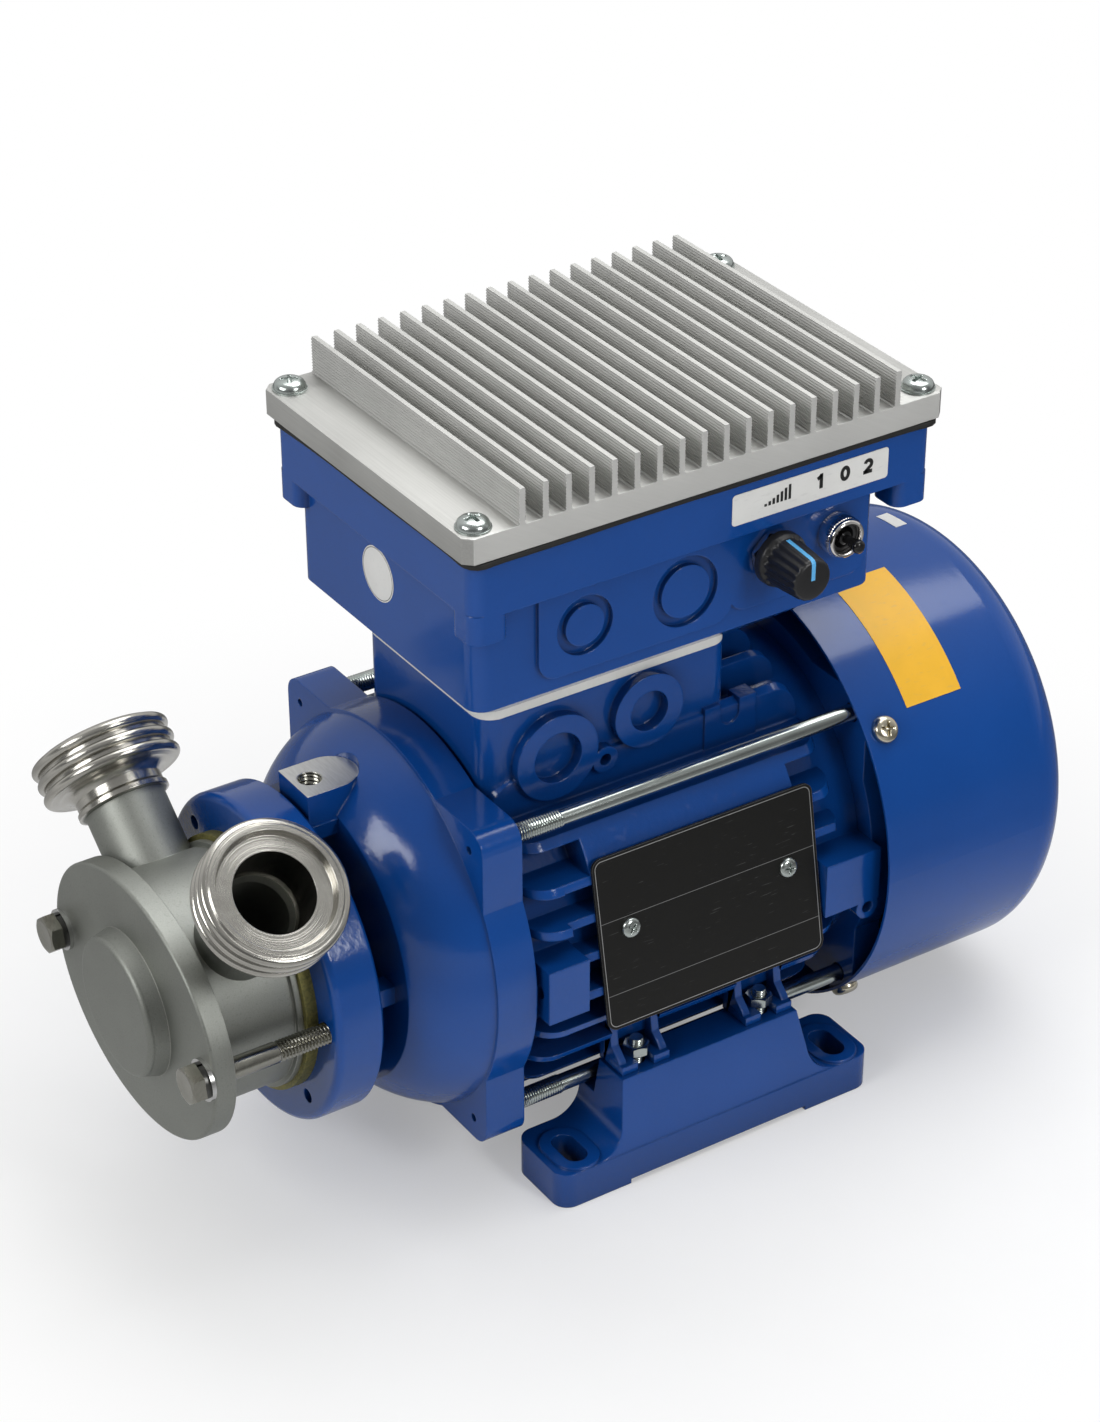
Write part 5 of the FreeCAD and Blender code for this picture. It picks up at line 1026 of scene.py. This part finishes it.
def leg_ledges():
    """Slotted ledges under the four nuts, and the two cheeks beside each."""
    front, back = LEG_FACE_X[0], LEG_FACE_X[1] - 0.5
    half = np.linspace(math.pi / 2, -math.pi / 2, 13)
    low, floor, middle, top = LEG_Z
    cheek = 2.4
    flank = np.array([(back, floor - 0.1), (front - 1.5, floor - 0.1), (front - 2.0, floor + 0.8),
                      (front - 5.5, middle + 1.2), (front - 6.5, top), (back, top)])
    skins = []
    for x, y in STUDS:
        side = math.copysign(1.0, x)
        bay = np.stack([abs(x) - LEG_SLOT * np.cos(half), LEG_SLOT * np.sin(half)], 1)
        outline = np.concatenate([[(back, -LEG_WIDTH), (back, LEG_WIDTH), (front, LEG_WIDTH)],
                                  [(front, LEG_SLOT)], bay, [(front, -LEG_SLOT), (front, -LEG_WIDTH)]])
        skins.append(prism(outline * (side, 1.0) + (0.0, y), low, floor))
        for edge in (-1, 1):
            y0, y1 = sorted((y + edge * LEG_WIDTH, y + edge * (LEG_WIDTH - cheek)))
            skins.append(prism(flank * (side, 1.0), y0 + 0.01, y1 - 0.01, (0, 2, 1)))
    return skins


def read(items, key, width, kind=np.float32):
    """Values of one property of many items, a row for each."""
    values = np.empty(len(items) * width, kind)
    items.foreach_get(key, values)
    return values.reshape(-1, width)


def recast(name, node, look, change):
    """Changed copy of a solid part's mesh that stands for the part; old faces keep the smooth
    shading of the part, and the new ones, which have more than three corners, are flat."""
    dress(look, node)
    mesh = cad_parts[node].data.copy()
    mesh.name = name
    smooth = mesh.attributes.new("smooth_normal", "FLOAT_VECTOR", "CORNER")
    smooth.data.foreach_set("vector", read(mesh.corner_normals, "vector", 3).ravel())
    change(mesh)
    normal = read(mesh.attributes["smooth_normal"].data, "vector", 3)
    sizes = read(mesh.polygons, "loop_total", 1, np.int32).ravel()
    flat = np.repeat(read(mesh.polygons, "normal", 3), sizes, 0)
    normal = np.where(np.repeat(sizes, sizes)[:, None] > 3, flat, normal)
    mesh.attributes.remove(mesh.attributes["smooth_normal"])
    mesh.materials.clear()
    mesh.materials.append(finish(look))
    mesh.polygons.foreach_set("material_index", np.zeros(len(mesh.polygons), np.int32))
    mesh.normals_split_custom_set(normal.tolist())
    stand(name, mesh, "frame", node)


def open_lantern(mesh):
    """Takes the webs out of the gap between flange and bell and fills the two planes behind them."""
    slack, pad_half, pad_base = 0.02, 8.6, 100.0
    corners = read(mesh.loops, "vertex_index", 1, np.int32).reshape(-1, 3)
    x, y, z = np.moveaxis(read(mesh.vertices, "co", 3)[corners] / MM, -1, 0)
    low, high = y.min(1), y.max(1)
    webs = (low > GAP_Y[0] - slack) & (high < GAP_Y[1] + slack) & (high - low > slack)
    webs &= ~((np.abs(x) < pad_half) & (z > pad_base)).all(1)
    mesh.polygons.foreach_set("material_index", webs.astype(np.int32))
    shape = bmesh.new()
    shape.from_mesh(mesh)
    bmesh.ops.remove_doubles(shape, verts=shape.verts, dist=0.002 * MM)
    bmesh.ops.delete(shape, geom=[face for face in shape.faces if face.material_index], context="FACES")
    bmesh.ops.holes_fill(shape, edges=[edge for edge in shape.edges if edge.is_boundary], sides=0)
    shape.to_mesh(mesh)
    shape.free()


def open_legs(mesh):
    """Sets the outer faces of the four foot legs back, and the tapped holes with them, so that studs
    and nuts stand before them."""
    old, new = LEG_FACE_X
    hole_reach, hole_shift = 3.3, old - new - 0.5
    places = read(mesh.vertices, "co", 3)
    x, y, z = places.T / MM
    off = np.abs(np.abs(y) - STUD_Y)
    leg = (off <= LEG_WIDTH + 0.1) & (z > LEG_Z[0] - 0.1) & (z < LEG_Z[3] + 0.1)
    face = leg & (np.abs(np.abs(x) - old) < 0.02)
    hole = leg & ~face & (np.hypot(np.abs(x) - STUDS[-1][0], off) < hole_reach)
    places[face, 0] = np.copysign(new, x[face]) * MM
    places[hole, 0] = (x[hole] - np.copysign(hole_shift, x[hole])) * MM
    mesh.vertices.foreach_set("co", places.ravel())
    mesh.update()


steps = []


def operator(name, label):
    """Class decorator that sets the id and the label of an operator and puts it on the list of steps."""
    def mark(cls):
        cls.bl_idname = "pump." + name
        cls.bl_label = label
        steps.append(cls)
        return cls
    return mark


@operator("castings", "Enamelled castings")
class PUMP_OT_castings(bpy.types.Operator):
    """Enamel on motor housing, lantern, feet, cowl and case"""

    def execute(self, context):
        dress("cast_enamel", "foot_right", "foot_left", "rear_shield")
        recast("open_lantern", "lantern", "lantern_enamel", open_lantern)
        piece("lantern_webs", "cast_enamel", lantern_webs())
        recast("open_leg_housing", "motor_housing", "cast_enamel", open_legs)
        piece("leg_ledges", "cast_enamel", leg_ledges())
        dress("sheet_enamel", "fan_cowl")
        dress("case_enamel", "inverter_case")
        dress("pale_plate", "adapter_plate")
        return {"FINISHED"}


@operator("pump_head", "Pump head")
class PUMP_OT_pump_head(bpy.types.Operator):
    """Steel pump head, its washers and its sealed inner parts"""

    def execute(self, context):
        dress("blasted", "pump_cover")
        dress("blasted_ports", "pump_body")
        dress("turned", "cam_plate", "impeller_key", "seal_spring", "cover_flat_washers")
        dress("dark_spring", "cover_spring_washers")
        dress("yellowed", "spacer_ring")
        dress("rubber", "cover_seal", "impeller", "seal_cup")
        dress("brass", "impeller_insert")
        dress("ceramic", "seal_seat")
        dress("carbon", "seal_face")
        return {"FINISHED"}


@operator("drive", "Shaft, bearings and windings")
class PUMP_OT_drive(bpy.types.Operator):
    """Turning parts and the windings round them"""

    def execute(self, context):
        dress("turned", "shaft", "preload_spring", "fan_clip")
        dress("rubber", "slinger")
        dress("chrome", "bearing_outer_rings", "bearing_inner_rings", "bearing_balls")
        dress("brass", "bearing_cages")
        dress("sheets", "stator_core", "rotor_core")
        dress("copper", "stator_windings")
        dress("cast_aluminium", "rotor_end_rings")
        dress("fan_black", "fan")
        dress("drawn_zinc", "tie_rods")
        piece("tie_rod_threads", "drawn_zinc", rod_threads())
        return {"FINISHED"}


@operator("electronics", "Controller inside")
class PUMP_OT_electronics(bpy.types.Operator):
    """Board, module and other parts under the lid"""

    def execute(self, context):
        dress("board", "inverter_board")
        dress("brass", "board_spacers")
        dress("module", "power_module", "capacitors", "terminal_block", "switch_body")
        dress("turned", "potentiometer", "potentiometer_spindle")
        dress("zinc", "case_screws")
        return {"FINISHED"}


@operator("heat_sink", "Heat sink lid")
class PUMP_OT_heat_sink(bpy.types.Operator):
    """Lid with ridged cooling fins"""

    def execute(self, context):
        piece("ridged_lid", "aluminium", heat_sink(), "heat_sink_lid", sharp=28.0)
        return {"FINISHED"}


@operator("gasket", "Lid gasket")
class PUMP_OT_gasket(bpy.types.Operator):
    """Rubber gasket that stands out between case and lid"""

    def execute(self, context):
        piece("wavy_gasket", "rubber", gasket(), "lid_gasket")
        return {"FINISHED"}


@operator("screws", "Cross-head screws")
class PUMP_OT_screws(bpy.types.Operator):
    """Cross-head screws of lid, cowl and nameplate"""

    def execute(self, context):
        low, high = in_mm("lid_screws")
        xs, ys = [(low[k] + LID_SCREW_INSET, high[k] - LID_SCREW_INSET) for k in (0, 1)]
        places = [(x, y, high[2] - LID_SCREW_TOP) for x in xs for y in ys]
        skins = [cross_head(place, (0, 0, 1), *LID_SCREW, 0.5 + 1.3 * k)
                 for k, place in enumerate(places)]
        piece("cross_lid_screws", "zinc", skins, "lid_screws")
        middle = np.array([0.0, COWL_SCREW_Y, SHAFT_Z])
        skins = [cross_head(middle + arm * (COWL_RADIUS + 0.1), arm, *COWL_SCREW, 0.3 + k)
                 for k, arm in enumerate(map(radial, COWL_SCREW_ANGLES))]
        piece("cross_cowl_screws", "yellow_zinc", skins, "cowl_screws")
        arm = radial(PLATE_TILT)
        middle = np.array([0.0, PLATE_MIDDLE[0], SHAFT_Z]) + arm * PLATE_DISTANCE
        skins = [cross_head(middle + (0.0, y, 0.0), arm, *PLATE_SCREW, 0.7 + k)
                 for k, y in enumerate((-PLATE_SCREW_Y, PLATE_SCREW_Y))]
        piece("cross_plate_screws", "zinc", skins, "nameplate_screws")
        return {"FINISHED"}


@operator("bolts", "Cover bolts")
class PUMP_OT_bolts(bpy.types.Operator):
    """Two threaded hexagon bolts through cover and flange"""

    def execute(self, context):
        low, high = in_mm("cover_bolts")
        head_y = low[1] + BOLT_HEAD
        length = high[1] - head_y
        pitch = context.scene.pump_sizes.thread_pitch / MM
        skins = [bolt((x, head_y, SHAFT_Z), (0, -1, 0), 10.0, BOLT_HEAD, 3.0, length, BOLT_PLAIN, pitch)
                 for x in (-BOLT_SPREAD, BOLT_SPREAD)]
        piece("threaded_cover_bolts", "bolt", skins, "cover_bolts")
        return {"FINISHED"}


@operator("foot_hardware", "Foot studs and nuts")
class PUMP_OT_foot_hardware(bpy.types.Operator):
    """Threaded studs and chamfered nuts between feet and housing"""

    def execute(self, context):
        turned = thread(in_mm("foot_studs")[0][2] + 0.3, STUD_TOP_Z, *STUD_THREAD)
        studs = [closed(turned + (x, y, 0.0)) for x, y in STUDS]
        piece("threaded_studs", "zinc", studs, "foot_studs")
        nuts = [nut((*place, LEG_Z[1]), (0, 0, 1), *FOOT_NUT, 0.4 * k) for k, place in enumerate(STUDS)]
        piece("chamfered_nuts", "zinc", nuts, "foot_nuts")
        return {"FINISHED"}


@operator("knob", "Speed knob")
class PUMP_OT_knob(bpy.types.Operator):
    """Fluted speed knob with its pointer, and the nut behind it"""

    def execute(self, context):
        piece("fluted_knob", "knob_black", speed_knob(), "speed_knob", "knob", 50.0)
        piece("knob_pointer", "pointer", knob_pointer(), body="knob")
        ring = nut((PANEL_X, *KNOB), (1, 0, 0), *KNOB_NUT, 0.3)
        piece("chamfered_bushing_nut", "chrome", [ring], "potentiometer_nut")
        return {"FINISHED"}


@operator("switch", "Toggle switch")
class PUMP_OT_switch(bpy.types.Operator):
    """Knurled nut and black lever of the toggle switch"""

    def execute(self, context):
        piece("knurled_nut", "chrome", knurled_nut(), "switch_nut")
        piece("toggle_lever", "gloss_black", lever(), "switch_lever", "switch")
        return {"FINISHED"}


@operator("labels", "Labels and films")
class PUMP_OT_labels(bpy.types.Operator):
    """Control label, bare films and the finish of the nameplate"""

    def execute(self, context):
        dress("plate", "nameplate")
        piece("control_label", "card ink", control_label())
        piece("side_film", "patch", cowl_film(*SIDE_FILM))
        piece("top_film", "card", cowl_film(*TOP_FILM))
        piece("round_film", "card ink", disc_label())
        return {"FINISHED"}


@operator("eye_thread", "Lifting-eye thread")
class PUMP_OT_eye_thread(bpy.types.Operator):
    """Thread inside the hole of the machined pad"""

    def execute(self, context):
        piece("eye_thread_turns", "bolt", eye_thread())
        return {"FINISHED"}


def area_light(name, place, aim, size, power):
    """Soft rectangular light aimed at a point."""
    data = bpy.data.lights.new(name, "AREA")
    data.shape = "RECTANGLE"
    data.size, data.size_y = size
    data.energy = power
    light = bpy.data.objects.new(name, data)
    light.location = place
    light.rotation_euler = (Vector(aim) - Vector(place)).to_track_quat("-Z", "Y").to_euler()
    bpy.context.scene.collection.objects.link(light)


def shown(block, kind, shade_of):
    """Clears the nodes of a material or world and links what a function of its sheet gives to its output."""
    block.use_nodes = True
    block.node_tree.nodes.clear()
    surface = shade_of(Sheet(block.node_tree))
    out = block.node_tree.nodes.new(kind)
    block.node_tree.links.new(surface.socket, out.inputs["Surface"])
    return block


def pale_floor(sheet):
    """Pale floor that fades to plain white away from the object, for the eye and for reflections."""
    place = sheet.node("ShaderNodeTexCoord", output="Object")
    reach = sheet.node("ShaderNodeVectorMath", {"operation": "LENGTH"}, {0: place}, 1)
    cloud = sheet.node("ShaderNodeTexNoise", None, {"Vector": place, "Scale": 40.0})
    matt = sheet.node("ShaderNodeBsdfDiffuse", None,
                      {"Color": sheet.mix(cloud, (0.90, 0.90, 0.90), (0.93, 0.93, 0.93))})
    camera, glossy, through = sheet.rays()
    ahead = sheet.along(place, (0.35, -1.0, 0.0)).step(0.1, 0.5)
    strength = 1.0 - glossy * (0.86 - 0.46 * ahead)
    white = sheet.node("ShaderNodeEmission", None, {"Color": (1, 1, 1, 1), "Strength": strength})
    share = (0.30 + 0.70 * reach.step(0.20, 0.09)) * camera.most(glossy).most(through)
    return sheet.node("ShaderNodeMixShader", None, {0: share, 1: matt, 2: white})


def plain_room(sheet, studio, back):
    """White for the eye; even light, and in reflections a room brighter behind the object and above."""
    way = sheet.node("ShaderNodeTexCoord", output="Generated")
    behind = sheet.along(way, (-back.x, -back.y, 0.0)).step(0.05, 0.35)
    above = sheet.along(way, (0.0, 0.0, 1.0)).step(0.55, 0.30)
    room = 0.14 + 0.50 * behind + 0.20 * above
    camera, glossy, through = sheet.rays()
    seen = camera.most(through)
    strength = seen + (1.0 - seen) * (glossy * room + (1.0 - glossy) * studio.room)
    return sheet.node("ShaderNodeBackground", None, {"Color": (1, 1, 1, 1), "Strength": strength})


@operator("stage", "Floor, light and camera")
class PUMP_OT_stage(bpy.types.Operator):
    """Pale floor, soft lights, plain surroundings and the camera"""

    def execute(self, context):
        scene = context.scene
        studio = scene.pump_studio
        mesh = bpy.data.meshes.new("floor")
        corners = [(x * FLOOR_REACH, y * FLOOR_REACH, 0) for x, y in ((-1, -1), (1, -1), (1, 1), (-1, 1))]
        mesh.from_pydata(corners, [], [[0, 1, 2, 3]])
        floor_look = bpy.data.materials.new("pale_floor")
        mesh.materials.append(shown(floor_look, "ShaderNodeOutputMaterial", pale_floor))
        floor = bpy.data.objects.new("floor", mesh)
        floor.location.z = -FLOOR_DROP
        scene.collection.objects.link(floor)

        area_light("ceiling_light", (-0.16, 0.35, 1.20), (0, -0.02, 0.10), (1.00, 0.80), studio.top_light)
        area_light("front_light", (0.05, -1.25, 0.85), (0, -0.05, 0.08), (0.80, 0.50), studio.front_light)
        area_light("side_light", (1.15, 0.25, 0.75), (0, 0, 0.08), (0.30, 0.46), studio.side_light)

        flat = math.cos(studio.elevation)
        back = Vector((math.sin(studio.azimuth) * flat, -math.cos(studio.azimuth) * flat,
                       math.sin(studio.elevation)))
        scene.world = shown(bpy.data.worlds.new("room"), "ShaderNodeOutputWorld",
                            lambda sheet: plain_room(sheet, studio, back))

        data = bpy.data.cameras.new("camera")
        data.sensor_fit = "AUTO"
        data.sensor_width = 36.0
        data.lens = studio.lens
        data.shift_x, data.shift_y = [shift / PHOTO_ROWS for shift in CAMERA_SHIFT]
        data.clip_start, data.clip_end = 0.05, 20.0
        camera = bpy.data.objects.new("camera", data)
        scene.collection.objects.link(camera)
        camera.location = Vector(studio.target) + back * studio.distance
        camera.rotation_mode = "QUATERNION"
        camera.rotation_quaternion = (-back).to_track_quat("-Z", "Y") @ Quaternion((0, 0, 1), studio.roll)
        scene.camera = camera
        scene.view_settings.view_transform = "Standard"
        return {"FINISHED"}


class PUMP_PT_sidebar(bpy.types.Panel):
    """Lists the steps that make the pump's looks"""

    bl_label = "Pump"
    bl_idname = "PUMP_PT_sidebar"
    bl_space_type = "VIEW_3D"
    bl_region_type = "UI"
    bl_category = "Pump"

    def draw(self, context):
        for group in settings_groups:
            settings = getattr(context.scene, group)
            box = self.layout.box()
            for key in settings.bl_rna.properties.keys():
                if key not in ("rna_type", "name"):
                    box.prop(settings, key)
        for step in steps:
            self.layout.operator(step.bl_idname)


settings_groups = {"pump_colours": Colours, "pump_sizes": Sizes, "pump_studio": Studio}


def register():
    """Registers the settings, the steps and the panel."""
    for key, group in settings_groups.items():
        bpy.utils.register_class(group)
        setattr(bpy.types.Scene, key, bpy.props.PointerProperty(type=group))
    for cls in steps + [PUMP_PT_sidebar]:
        bpy.utils.register_class(cls)


def unregister():
    """Takes them away again, last first."""
    for cls in [PUMP_PT_sidebar] + steps[::-1]:
        bpy.utils.unregister_class(cls)
    for key, group in reversed(list(settings_groups.items())):
        delattr(bpy.types.Scene, key)
        bpy.utils.unregister_class(group)


def main():
    """Runs every step."""
    register()
    for step in steps:
        getattr(bpy.ops.pump, step.bl_idname.split(".")[1])()


if __name__ == "__main__":
    main()
